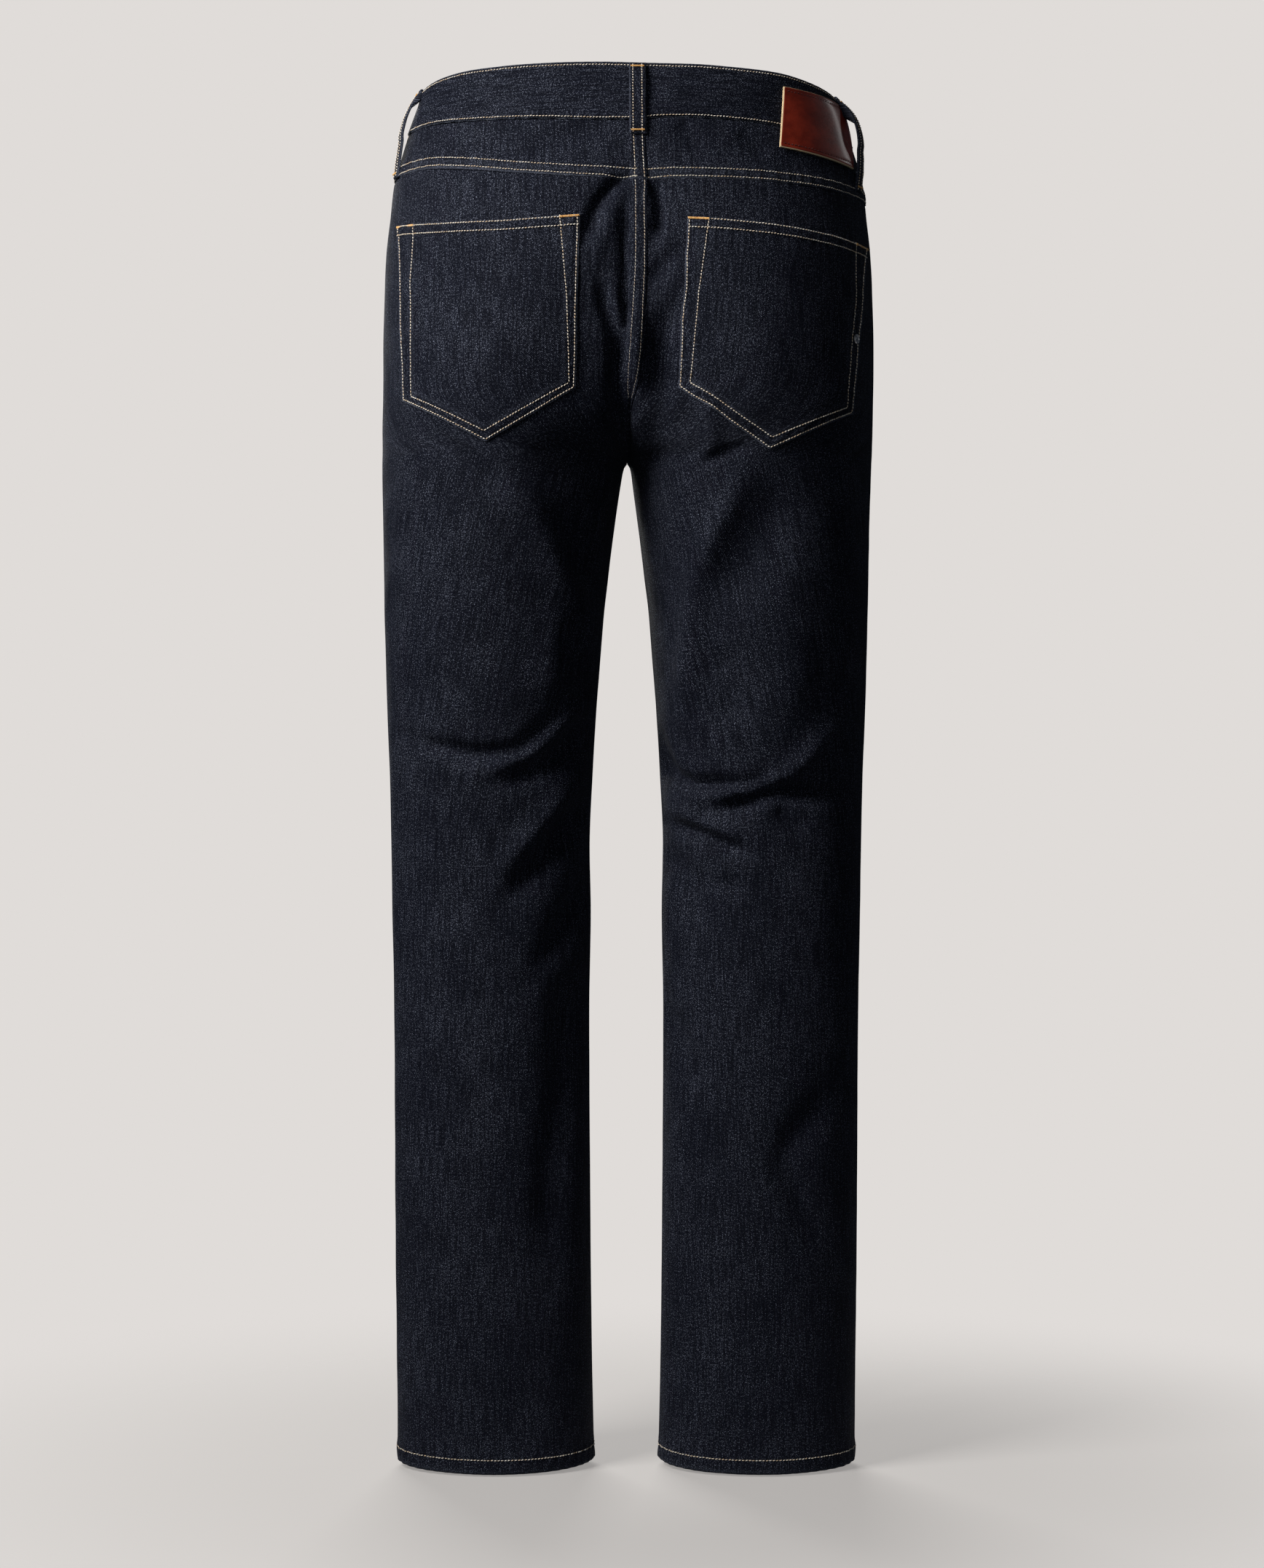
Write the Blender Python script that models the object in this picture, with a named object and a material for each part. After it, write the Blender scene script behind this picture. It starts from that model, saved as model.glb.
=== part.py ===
"""Straight leg jeans in their worn shape with no wearer, built as sewn cloth.

Every panel is a wall of denim over one shared surface. The surface is made of four quarters:
left and right, back and front. A quarter is a stack of rows. Each row starts at the outseam, runs
round the leg, and ends at the centre seam above the crotch or at the inseam below it.

Lengths are in millimetres until they reach Blender. Heights are measured up from the hem.
+X is the wearer's left, +Y the wearer's back, and the origin is the middle of the waist opening.
"""

from collections import namedtuple

import bmesh
import bpy
import numpy as np

MM = 0.001

# ---------------------------------------------------------------- driving sizes
ORIGIN_HEIGHT = 1100.0  # middle of the waist opening, above the hem
CROTCH_HEIGHT = 813.0  # a 32 inch inseam
SEAM_GAP = 0.3  # free space between two neighbouring pieces
DENIM = 1.3  # thickness of one layer of cloth
HEM_DEPTH = 12.0  # turned up hem
HEM_LAYERS = 2.0
HEM_FRONT_RISE = 7.0  # the hem is this much higher at the front than at the back

BAND_PROUD = 1.0  # the waistband stands this far outside the panels
BAND_THICK = 2.8
LOOP_WIDTH = 13.0
LOOP_THICK = 2.4
OVER_BAND_GAP = 0.5  # free space under what is sewn over the band
LOOP_ABOVE_EDGE = 1.0  # a belt loop's folded end reaches this far over the band's top edge
POCKET_THICK = 1.3
PATCH_THICK = 1.8
FLY_THICK = 1.0
BUTTON_RADIUS = 8.5
BUTTON_HEIGHT = 5.0
RIVET_RADIUS = 3.8
RIVET_HEIGHT = 1.6
RIVET_CLEAR = 0.15  # more free space under its rim, because the cloth bends away
RIVET_PLACE = (-180.5, 904.3)  # its (x, height) on the right back pocket

# One row for each height: how far the outseam stands from the centre plane, the rearmost and
# foremost points, how far from the centre plane those points lie, and how square the curve
# between them is: 2 is an ellipse, and more is squarer.
Section = namedtuple("Section", "height out rear fore crown square")
SECTIONS = (
    Section(1120, 165.5, 102.6, -105.0, 0.0, 2.35),
    Section(1104, 169.0, 105.1, -106.2, 0.0, 2.3),
    Section(1088, 175.0, 107.7, -107.5, 2.0, 2.2),
    Section(1069, 181.2, 110.8, -109.0, 10.0, 2.1),
    Section(1036, 190.5, 116.5, -111.5, 26.0, 2.0),
    Section(1010, 193.2, 121.0, -112.5, 42.0, 2.0),
    Section(983, 196.2, 125.0, -113.5, 56.0, 2.0),
    Section(956, 197.6, 128.0, -113.5, 66.0, 2.0),
    Section(903, 198.8, 128.5, -112.5, 79.0, 2.0),
    Section(850, 198.8, 121.0, -109.5, 91.0, 2.0),
    Section(813, 198.3, 111.5, -106.0, 98.0, 2.0),
    Section(770, 197.3, 102.5, -101.5, 102.5, 2.0),
    Section(716, 196.4, 94.0, -96.5, 105.5, 2.0),
    Section(663, 195.3, 86.0, -91.0, 107.5, 2.0),
    Section(610, 193.8, 77.5, -85.0, 109.0, 2.0),
    Section(556, 191.7, 69.5, -78.5, 110.0, 2.0),
    Section(503, 190.6, 64.0, -72.0, 110.5, 2.0),
    Section(450, 189.8, 62.0, -66.0, 110.0, 2.0),
    Section(370, 188.3, 60.5, -60.5, 109.5, 2.0),
    Section(183, 187.2, 54.0, -53.5, 108.0, 2.0),
    Section(76, 186.0, 50.0, -48.5, 107.0, 2.0),
    Section(0, 185.4, 48.5, -45.5, 106.0, 2.0),
)

# How far the inseam stands from the centre plane below the crotch.
Inseam = namedtuple("Inseam", "height gap")
INSEAMS = (
    Inseam(813, 0.15),
    Inseam(811, 2.3),
    Inseam(806, 3.7),
    Inseam(796, 5.3),
    Inseam(770, 8.9),
    Inseam(743, 12.4),
    Inseam(716, 15.7),
    Inseam(690, 18.7),
    Inseam(663, 20.8),
    Inseam(610, 24.9),
    Inseam(556, 28.0),
    Inseam(503, 30.2),
    Inseam(450, 29.2),
    Inseam(370, 30.4),
    Inseam(183, 29.3),
    Inseam(76, 28.0),
    Inseam(0, 26.3),
)

# Where the centre seam runs. Each row of the surface starts at `level` on the outseam and ends on
# the seam at `y` and `height`. The seam goes down the seat, under the body and up to the fly.
SeamPoint = namedtuple("SeamPoint", "level back_y back_height front_y front_height")
CENTRE_SEAM = (
    SeamPoint(1120, 102.6, 1120.0, -105.0, 1120.0),
    SeamPoint(1088, 107.6, 1088.0, -107.4, 1088.0),
    SeamPoint(1069, 110.2, 1069.0, -108.8, 1069.0),
    SeamPoint(1036, 114.5, 1036.0, -110.5, 1036.0),
    SeamPoint(1010, 117.5, 1010.0, -111.0, 1010.0),
    SeamPoint(983, 119.5, 983.0, -111.0, 983.0),
    SeamPoint(956, 120.5, 956.0, -110.0, 956.0),
    SeamPoint(930, 119.5, 930.0, -107.5, 930.0),
    SeamPoint(903, 116.0, 903.0, -103.0, 903.0),
    SeamPoint(880, 109.0, 879.0, -96.0, 879.0),
    SeamPoint(864, 99.5, 862.0, -87.5, 862.5),
    SeamPoint(850, 85.0, 846.0, -75.5, 847.0),
    SeamPoint(838, 66.0, 832.0, -60.0, 834.0),
    SeamPoint(828, 44.0, 821.5, -42.0, 824.0),
    SeamPoint(820, 20.0, 815.5, -23.0, 817.0),
    SeamPoint(813, -5.0, 813.0, -5.0, 813.0),
)
INSEAM_Y = -5.0
VALLEY_LEVEL = 895.0  # above this the seat dips smoothly into the centre seam
TUBE_LEVEL = 838.0  # below this each leg rounds away from the centre seam as a tube

# The centre back seam strays sideways, because the wearer stood slightly turned.
Stray = namedtuple("Stray", "height x")
BACK_SEAM_STRAY = (
    Stray(1120, -7.2),
    Stray(1020, -7.2),
    Stray(970, -6.3),
    Stray(935, -5.0),
    Stray(900, -3.2),
    Stray(860, -0.9),
    Stray(813, 0.0),
)

# The hips stand a little to the wearer's right of the feet.
HIP_SWAY = 1.8
SWAY_FROM, SWAY_TO = 760.0, 900.0

# Heights of the lines that run round the body, from the side (0) to the centre (1), on the back of
# each side and on both fronts.
BodyLine = namedtuple("BodyLine", "along left right front")
BAND_TOP = (
    BodyLine(0.0, 1110.0, 1102.5, 1106.0),
    BodyLine(0.14, 1112.0, 1105.0, 1104.0),
    BodyLine(0.28, 1114.8, 1108.9, 1101.0),
    BodyLine(0.45, 1116.8, 1113.0, 1098.0),
    BodyLine(0.72, 1117.6, 1115.2, 1092.5),
    BodyLine(1.0, 1116.7, 1116.7, 1088.0),
)
BAND_BOTTOM = (
    BodyLine(0.0, 1077.5, 1067.0, 1072.0),
    BodyLine(0.25, 1077.3, 1067.6, 1065.0),
    BodyLine(0.45, 1075.2, 1069.4, 1058.5),
    BodyLine(0.62, 1073.5, 1071.6, 1053.0),
    BodyLine(0.86, 1071.2, 1073.0, 1046.5),
    BodyLine(1.0, 1070.4, 1070.8, 1044.0),
)
YOKE_BOTTOM = (
    BodyLine(0.0, 1038.5, 1020.5, 0.0),
    BodyLine(0.16, 1040.8, 1021.0, 0.0),
    BodyLine(0.3, 1040.6, 1021.7, 0.0),
    BodyLine(0.48, 1035.5, 1022.5, 0.0),
    BodyLine(0.64, 1029.6, 1022.8, 0.0),
    BodyLine(0.85, 1024.2, 1023.0, 0.0),
    BodyLine(1.0, 1023.0, 1022.6, 0.0),
)

# A fold is a soft trough (negative depth) or ridge along a path of (x, height) points, as seen
# from behind for the back and through the body for the front.
Fold = namedtuple("Fold", "depth width path")
FINEST_FOLD = 12.0  # narrower folds are widened to this, because the facets are no finer
BACK_FOLDS = (
    # beside and below the centre back seam
    Fold(-5.5, 8, ((-3, 1022), (11, 1016), (21, 1000), (31, 974))),
    Fold(-3.5, 7, ((-18, 1019), (-23, 998), (-26, 971))),
    Fold(-6.0, 7, ((-3, 1004), (-3, 935), (-1, 880), (0, 836))),
    Fold(-6.0, 10, ((17, 940), (8, 880), (6, 840))),
    Fold(-6.0, 9, ((-44, 929), (-26, 907), (-17, 883), (-12, 850))),
    Fold(-3.0, 8, ((-43, 963), (-33, 952), (-23, 943))),
    Fold(2.5, 9, ((-32, 985), (-38, 940), (-56, 915))),
    # across the yoke
    Fold(-2.5, 8, ((-40, 1070), (-48, 1058), (-57, 1043))),
    Fold(-2.5, 9, ((-85, 1063), (-100, 1053), (-114, 1044))),
    Fold(-2.0, 9, ((4, 1067), (40, 1060), (80, 1044))),
    # under the seat
    Fold(-4.0, 9, ((163, 837), (125, 806), (85, 775))),
    Fold(-6.0, 18, ((34, 840), (52, 808), (58, 780))),
    Fold(6.0, 12, ((100, 806), (84, 776), (64, 748), (50, 712), (34, 682), (22, 654))),
    Fold(-4.5, 15, ((48, 780), (38, 735), (26, 700))),
    Fold(-4.0, 7, ((-57, 800), (-94, 817))),
    Fold(-5.5, 22, ((-122, 800), (-94, 744), (-72, 700))),
    Fold(4.0, 12, ((-68, 872), (-85, 822), (-71, 768), (-58, 711), (-49, 643))),
    # behind the left knee
    Fold(-6.0, 8, ((178, 591), (150, 582), (112, 575), (89, 578), (58, 603), (35, 626))),
    Fold(5.5, 9, ((112, 565), (81, 576), (58, 597), (29, 627))),
    Fold(-5.5, 13, ((104, 553), (64, 568), (28, 606))),
    Fold(3.5, 9, ((95, 487), (60, 530), (31, 563))),
    Fold(-7.0, 10, ((30, 541), (58, 504), (95, 458))),
    Fold(-5.0, 10, ((30, 482), (47, 445), (72, 400))),
    # behind the right knee
    Fold(-6.0, 7, ((-27, 589), (-35, 562), (-55, 552), (-93, 552), (-121, 562))),
    Fold(5.0, 8, ((-52, 543), (-92, 547), (-127, 560), (-165, 597))),
    Fold(-7.5, 8, ((-61, 528), (-93, 537), (-121, 546), (-178, 542))),
    Fold(3.5, 8, ((-36, 537), (-61, 520), (-100, 508))),
    Fold(-6.5, 7, ((-32, 521), (-58, 513), (-98, 496))),
    Fold(-3.5, 9, ((-50, 483), (-70, 472), (-98, 471))),
    Fold(-3.5, 10, ((-118, 536), (-145, 513))),
    # down the calves
    Fold(-6.0, 14, ((47, 425), (50, 319), (60, 232), (61, 151))),
    Fold(-4.0, 11, ((-30, 503), (-50, 470), (-70, 440))),
    Fold(-4.0, 11, ((-32, 376), (-61, 306))),
    Fold(-5.5, 13, ((-172, 315), (-128, 252), (-168, 176))),
)
FRONT_FOLDS = (
    # fanning out from the crotch
    Fold(-3.5, 10, ((14, 868), (60, 888), (112, 918))),
    Fold(-3.5, 10, ((10, 846), (58, 850), (122, 872))),
    Fold(-3.0, 11, ((14, 822), (58, 812), (110, 822))),
    Fold(-3.5, 10, ((-12, 872), (-52, 896), (-96, 926))),
    Fold(-3.0, 11, ((-10, 848), (-60, 858), (-128, 884))),
    Fold(-3.0, 10, ((-14, 826), (-60, 822), (-116, 838))),
    # down the thighs
    Fold(-3.0, 22, ((92, 770), (112, 700), (104, 636))),
    Fold(-3.0, 20, ((-84, 780), (-104, 716), (-98, 650))),
    # over the knees
    Fold(-3.5, 10, ((44, 566), (84, 550), (138, 560), (172, 580))),
    Fold(-3.5, 11, ((40, 524), (88, 508), (150, 516))),
    Fold(-2.5, 12, ((52, 470), (96, 462), (140, 472))),
    Fold(-3.5, 10, ((-40, 574), (-92, 556), (-150, 572))),
    Fold(-3.5, 11, ((-46, 530), (-90, 520), (-142, 508), (-174, 512))),
    Fold(-2.5, 12, ((-60, 478), (-112, 466), (-150, 470))),
    # down the shins
    Fold(-3.0, 17, ((84, 400), (96, 300), (86, 190))),
    Fold(-3.0, 16, ((-112, 390), (-98, 290), (-108, 170))),
)

# Corners of a back pocket as (x, height): along the top, down the outer side, round the point.
Pocket = namedtuple("Pocket", "top_in top_out side_out point side_in")
POCKETS = {
    "left": Pocket((36, 994), (181, 997), (176, 855), (109, 819), (39.5, 860)),
    "right": Pocket((-48, 992), (-192, 981.5), (-179, 845), (-112, 813), (-41.5, 861.5)),
}

# Belt loops: which quarter, how far along its row from the side (0) to the centre (1) at the top
# and at the bottom, how far the loop stands off the band, and how far it reaches below the band.
BeltLoop = namedtuple("BeltLoop", "side face top bottom bow below")
BELT_LOOPS = {
    "back": BeltLoop("left", "back", 1.0, 1.0, 2.2, 10.0),
    "side_left": BeltLoop("left", "back", 0.085, 0.10, 5.2, 37.0),
    "side_right": BeltLoop("right", "back", 0.105, 0.155, 9.5, 40.5),
    "front_left": BeltLoop("left", "front", 0.46, 0.51, 2.2, 11.0),
    "front_right": BeltLoop("right", "front", 0.46, 0.51, 2.2, 11.0),
}
LOOP_SKEW = 0.6  # a loop stands off the furthest above its middle

SCOOP_ALONG = 0.50  # the front pocket's mouth meets the band here along the front row
SCOOP_DROP = 82.0  # and meets the outseam this far below the band
FACING_UNDERLAP = 14.0  # the pocket facing runs this far behind the front panel

# The leather patch's outer and inner corners, as places along the right back row and levels.
PATCH_TOP = ((0.05, 1096.5), (0.452, 1101.5))
PATCH_BOTTOM = ((0.175, 1044.0), (0.515, 1051.5))

FLY_WIDTH = 38.0
FLY_LENGTH = 138.0

DENIM_BLUE = (0.012, 0.017, 0.035)
DENIM_INSIDE = (0.16, 0.18, 0.22)
LEATHER_BROWN = (0.16, 0.035, 0.012)
OLD_BRASS = (0.30, 0.22, 0.14)

REAR, FORE = "back", "front"
SIDES = {"left": 1, "right": -1}


# ---------------------------------------------------------------- curves
def smooth_steps(value, low, high):
    """0 below low, 1 above high, and a smooth rise between them."""
    t = np.clip((value - low) / (high - low), 0.0, 1.0)
    return t * t * (3 - 2 * t)


def column(table, *names):
    """The named columns of a table of tuples, as arrays with the heights rising."""
    rows = sorted(table, key=lambda row: row[0])
    return [np.array([getattr(row, name) for row in rows], float) for name in names]


def through(at, xs, ys):
    """A smooth curve through the points (xs, ys) that doesn't overshoot them."""
    step = np.diff(xs)
    rise = np.diff(ys) / step
    slope = np.zeros(len(xs))
    slope[0], slope[-1] = rise[0], rise[-1]
    same_way = rise[:-1] * rise[1:] > 0
    harmonic = 2 * rise[:-1] * rise[1:] / np.where(same_way, rise[:-1] + rise[1:], 1)
    slope[1:-1] = np.where(same_way, harmonic, 0.0)
    at = np.clip(at, xs[0], xs[-1])
    i = np.clip(np.searchsorted(xs, at) - 1, 0, len(xs) - 2)
    t = (at - xs[i]) / step[i]
    return (
        ys[i] * (1 + 2 * t) * (1 - t) ** 2
        + ys[i + 1] * t * t * (3 - 2 * t)
        + step[i] * slope[i] * t * (1 - t) ** 2
        + step[i] * slope[i + 1] * t * t * (t - 1)
    )


def from_table(table, name, height):
    """The named column of a table at any heights."""
    heights, values = column(table, table[0]._fields[0], name)
    return through(height, heights, values)


def path_samples(points, count=48):
    """Points spread along a smooth curve through a fold's own points."""
    points = np.array(points, float)
    knots = np.concatenate([[0], np.cumsum(np.hypot(*np.diff(points, axis=0).T))])
    at = np.linspace(0, knots[-1], count)
    return np.stack([through(at, knots, points[:, k]) for k in range(2)], axis=1)


def fold_relief(folds, x, height):
    """How far the folds push the surface out at each point."""
    relief = np.zeros_like(x)
    for fold in folds:
        line = path_samples(fold.path)
        width = max(fold.width, FINEST_FOLD)
        depth = fold.depth * (fold.width / width) ** 0.5
        reach = 3 * width
        low, high = line.min(0) - reach, line.max(0) + reach
        near = (x > low[0]) & (x < high[0]) & (height > low[1]) & (height < high[1])
        away = np.hypot(x[near][:, None] - line[:, 0], height[near][:, None] - line[:, 1])
        nearest = away.argmin(1)
        along = nearest / (len(line) - 1)
        fade = smooth_steps(along, 0.0, 0.25) * smooth_steps(1 - along, 0.0, 0.25)
        profile = np.exp(-((away.min(1) / width) ** 2))
        relief[near] += depth * profile * (0.25 + 0.75 * fade)
    return relief


# ---------------------------------------------------------------- the shared surface
class Quarter:
    """One quarter of the jeans' outer surface, from the outseam to the centre seam or inseam.

    A place on it is (level, along): the height at the outseam, and the share of the row's length
    from the outseam, 0, to the centre, 1.
    """

    LEVEL_STEP = 2.5
    ALONG_STEPS = 120

    def __init__(self, side, face):
        self.side, self.face = side, face
        self.sign = SIDES[side]
        self.levels = np.arange(0.0, 1120.0 + self.LEVEL_STEP, self.LEVEL_STEP)
        rows = self.trimmed(self.rows())
        rows[..., 0] *= self.sign
        self.row_lengths = self.lengths(rows)[:, -1]
        if face == REAR:
            rows[..., 0] += self.seam_stray(rows)
        rows[..., 0] -= HIP_SWAY * smooth_steps(rows[..., 2], SWAY_FROM, SWAY_TO)
        self.points = rows
        self.points = rows + self.normals() * self.folds()[..., None]
        self.normal = self.normals()

    def rows(self):
        """Dense rows, from the outseam to the centre, before they are spaced evenly."""
        level = self.levels[:, None]
        back = self.face == REAR
        out = from_table(SECTIONS, "out", level)
        crest = from_table(SECTIONS, "rear" if back else "fore", level)
        crown = from_table(SECTIONS, "crown", level)
        seam_y = from_table(CENTRE_SEAM, "back_y" if back else "front_y", level)
        seam_height = from_table(CENTRE_SEAM, "back_height" if back else "front_height", level)
        on_leg = level < CROTCH_HEIGHT
        seam_y = np.where(on_leg, INSEAM_Y, seam_y)
        seam_height = np.where(on_leg, level, seam_height)
        inner = np.where(on_leg, from_table(INSEAMS, "gap", level), SEAM_GAP / 2)

        quarter_turn = np.linspace(0, np.pi / 2, 120)[None, :]
        power = 2 / from_table(SECTIONS, "square", level)
        outer_x = crown + (out - crown) * np.cos(quarter_turn).clip(0, 1) ** power
        outer_y = crest * np.sin(quarter_turn) ** power

        t = np.linspace(0, 1, 121)[None, 1:]
        dip = (1 - np.cos(np.pi * t)) / 2
        valley_x = np.maximum(crown, inner) * (1 - t) + inner * t
        valley_y = crest + (seam_y - crest) * dip
        tube_x = crown - (crown - inner) * np.sin(np.pi / 2 * t)
        tube_y = seam_y + (crest - seam_y) * np.cos(np.pi / 2 * t)
        tube = 1 - smooth_steps(level, TUBE_LEVEL, VALLEY_LEVEL)
        inner_x = valley_x * (1 - tube) + tube_x * tube
        inner_y = valley_y * (1 - tube) + tube_y * tube

        outer_height = level + 0 * quarter_turn
        inner_height = level + (seam_height - level) * dip
        parts = ((outer_x, inner_x), (outer_y, inner_y), (outer_height, inner_height))
        rows = np.stack([np.concatenate(pair, axis=1) for pair in parts], axis=2)
        rows[..., 0] = np.maximum(rows[..., 0], inner)
        return rows

    @staticmethod
    def lengths(rows):
        steps = np.linalg.norm(np.diff(rows, axis=1), axis=2)
        return np.concatenate([np.zeros((len(rows), 1)), np.cumsum(steps, axis=1)], axis=1)

    def trimmed(self, rows):
        """The rows spaced evenly, and cut back from the seams by half the gap."""
        lengths = self.lengths(rows)
        spaced = np.empty((len(rows), self.ALONG_STEPS + 1, 3))
        for i, (row, length) in enumerate(zip(rows, lengths)):
            at_inseam = self.levels[i] <= CROTCH_HEIGHT + 3
            end = length[-1] - (SEAM_GAP / 2 if at_inseam else 0.0)
            at = np.linspace(SEAM_GAP / 2, end, self.ALONG_STEPS + 1)
            for k in range(3):
                spaced[i, :, k] = np.interp(at, length, row[:, k])
        return spaced

    def seam_stray(self, rows):
        width = from_table(SECTIONS, "out", self.levels)[:, None]
        share = np.clip(np.abs(rows[..., 0]) / width, 0, 1)
        return from_table(BACK_SEAM_STRAY, "x", rows[..., 2]) * (1 - share**2) ** 2

    def normals(self):
        """Unit vectors that point out of the cloth."""
        along = np.gradient(self.points, axis=1)
        up = np.gradient(self.points, axis=0)
        cross = np.cross(along, up) * self.sign * (1 if self.face == REAR else -1)
        return cross / np.linalg.norm(cross, axis=2, keepdims=True)

    def folds(self):
        """Fold relief, which dies away towards the outseam and, on the legs, the inseam."""
        folds = BACK_FOLDS if self.face == REAR else FRONT_FOLDS
        relief = fold_relief(folds, self.points[..., 0], self.points[..., 2])
        along = np.linspace(0, 1, self.ALONG_STEPS + 1)[None, :]
        at_side = smooth_steps(along, 0.0, 0.10)
        near_centre = smooth_steps(1 - along, 0.0, 0.14)
        above_crotch = smooth_steps(self.levels[:, None], 850, 880)
        return relief * at_side * (above_crotch + (1 - above_crotch) * near_centre)

    def sample(self, grid, level, along):
        """Bilinear look-up of one of the quarter's grids."""
        row = np.clip(np.asarray(level, float) / self.LEVEL_STEP, 0, len(self.levels) - 1.001)
        col = np.clip(np.asarray(along, float), 0, 1) * self.ALONG_STEPS
        col = np.minimum(col, self.ALONG_STEPS - 1e-6)
        i, j = row.astype(int), col.astype(int)
        s, t = (row - i)[..., None], (col - j)[..., None]
        low = grid[i, j] * (1 - t) + grid[i, j + 1] * t
        high = grid[i + 1, j] * (1 - t) + grid[i + 1, j + 1] * t
        return low * (1 - s) + high * s

    def at(self, level, along, lift=0.0):
        """Points of the surface, moved out by lift."""
        level, along = np.broadcast_arrays(level, along)
        points = self.sample(self.points, level, along)
        normal = self.sample(self.normal, level, along)
        normal /= np.linalg.norm(normal, axis=-1, keepdims=True)
        return points + normal * np.asarray(lift, float)[..., None]

    def line(self, body_line, along):
        """The height of a line round the body at each place along the rows."""
        name = self.side if self.face == REAR else "front"
        return from_table(body_line, name, np.asarray(along, float))

    def along_of(self, x, height):
        """Where along the rows the points seen at (x, height) lie, with their levels."""
        x, height = np.broadcast_arrays(np.asarray(x, float), np.asarray(height, float))
        level, along = height.copy(), np.zeros_like(height)
        steps = np.linspace(0, 1, self.ALONG_STEPS + 1)
        for _ in range(3):
            for place in np.ndindex(x.shape):
                row = self.at(level[place], steps)
                seen = row[:, 0] * self.sign
                order = np.argsort(seen)
                along[place] = np.interp(x[place] * self.sign, seen[order], steps[order])
            level += height - self.at(level, along)[..., 2]
        return level, along


# ---------------------------------------------------------------- meshes
def closed_wall(outer, inner):
    """Vertices and faces of a closed wall between two grids of points of one shape."""
    rows, cols = outer.shape[:2]
    count = rows * cols
    vertices = np.concatenate([outer.reshape(-1, 3), inner.reshape(-1, 3)])
    faces = []
    for i in range(rows - 1):
        for j in range(cols - 1):
            a, b = i * cols + j, i * cols + j + 1
            c, d = b + cols, a + cols
            faces.append((a, b, c, d))
            faces.append((d + count, c + count, b + count, a + count))
    top = [j for j in range(cols)]
    right = [i * cols + cols - 1 for i in range(rows)]
    bottom = [(rows - 1) * cols + j for j in reversed(range(cols))]
    left = [i * cols for i in reversed(range(rows))]
    rim = top[:-1] + right[:-1] + bottom[:-1] + left[:-1]
    for a, b in zip(rim, rim[1:] + rim[:1]):
        faces.append((b, a, a + count, b + count))
    return vertices, faces


def make_material(name, colour, roughness, metallic=0.0):
    material = bpy.data.materials.new(name)
    material.use_nodes = True
    shader = material.node_tree.nodes["Principled BSDF"]
    shader.inputs["Base Color"].default_value = (*colour, 1.0)
    shader.inputs["Roughness"].default_value = roughness
    shader.inputs["Metallic"].default_value = metallic
    material.diffuse_color = (*colour, 1.0)
    return material


def to_metres(vertices):
    """Row frame metres from millimetres and heights above the hem."""
    return (np.asarray(vertices) - np.array([0.0, 0.0, ORIGIN_HEIGHT])) * MM


def make_object(name, vertices, faces, material):
    mesh = bpy.data.meshes.new(name)
    mesh.from_pydata([tuple(v) for v in to_metres(vertices)], [], faces)
    shape = bmesh.new()
    shape.from_mesh(mesh)
    bmesh.ops.recalc_face_normals(shape, faces=shape.faces)
    bmesh.ops.triangulate(shape, faces=shape.faces, quad_method="SHORT_EDGE")
    shape.to_mesh(mesh)
    shape.free()
    mesh.materials.append(material)
    mesh.shade_smooth()
    mesh.set_sharp_from_angle(angle=0.7)
    made = bpy.data.objects.new(name, mesh)
    bpy.context.scene.collection.objects.link(made)
    return made


def make_wall(name, outer, inner, material):
    return make_object(name, *closed_wall(outer, inner), material)


def laid_on(name, grid, outline, thick, material):
    """Cloth that lies on a panel: the panel's own facets inside a convex outline, moved out.

    grid is the panel's outer points, and outline the (x, height) corners seen from behind.
    """
    shape = bmesh.new()
    cols = grid.shape[1]
    verts = [shape.verts.new(point) for point in grid.reshape(-1, 3)]
    for i in range(grid.shape[0] - 1):
        for j in range(cols - 1):
            a = i * cols + j
            shape.faces.new((verts[a], verts[a + 1], verts[a + cols + 1], verts[a + cols]))
    bmesh.ops.recalc_face_normals(shape, faces=shape.faces)
    bmesh.ops.triangulate(shape, faces=shape.faces, quad_method="SHORT_EDGE")
    middle = np.mean(outline, axis=0)
    for a, b in zip(outline, outline[1:] + outline[:1]):
        away = np.array([b[1] - a[1], a[0] - b[0]], float)
        away *= np.sign(away @ (np.array(a) - middle))
        every = shape.verts[:] + shape.edges[:] + shape.faces[:]
        bmesh.ops.bisect_plane(
            shape, geom=every, dist=1e-4, clear_outer=True,
            plane_co=(a[0], 0.0, a[1]), plane_no=(away[0], 0.0, away[1]),
        )
    bmesh.ops.triangulate(shape, faces=shape.faces, quad_method="SHORT_EDGE")
    shape.normal_update()
    shape.verts.index_update()
    points = np.array([vert.co for vert in shape.verts])
    normal = np.array([vert.normal for vert in shape.verts])
    normal *= np.sign((normal[:, 1] * points[:, 1]).sum())
    count = len(points)
    faces = []
    for face in shape.faces:
        ring = [vert.index for vert in face.verts]
        faces += [tuple(ring), tuple(index + count for index in reversed(ring))]
    for edge in shape.edges:
        if edge.is_boundary:
            corner = edge.link_loops[0]
            a, b = corner.vert.index, corner.link_loop_next.vert.index
            faces.append((b, a, a + count, b + count))
    shape.free()
    lifted = [points + normal * (SEAM_GAP + thick), points + normal * SEAM_GAP]
    return make_object(name, np.concatenate(lifted), faces, material)


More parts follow.
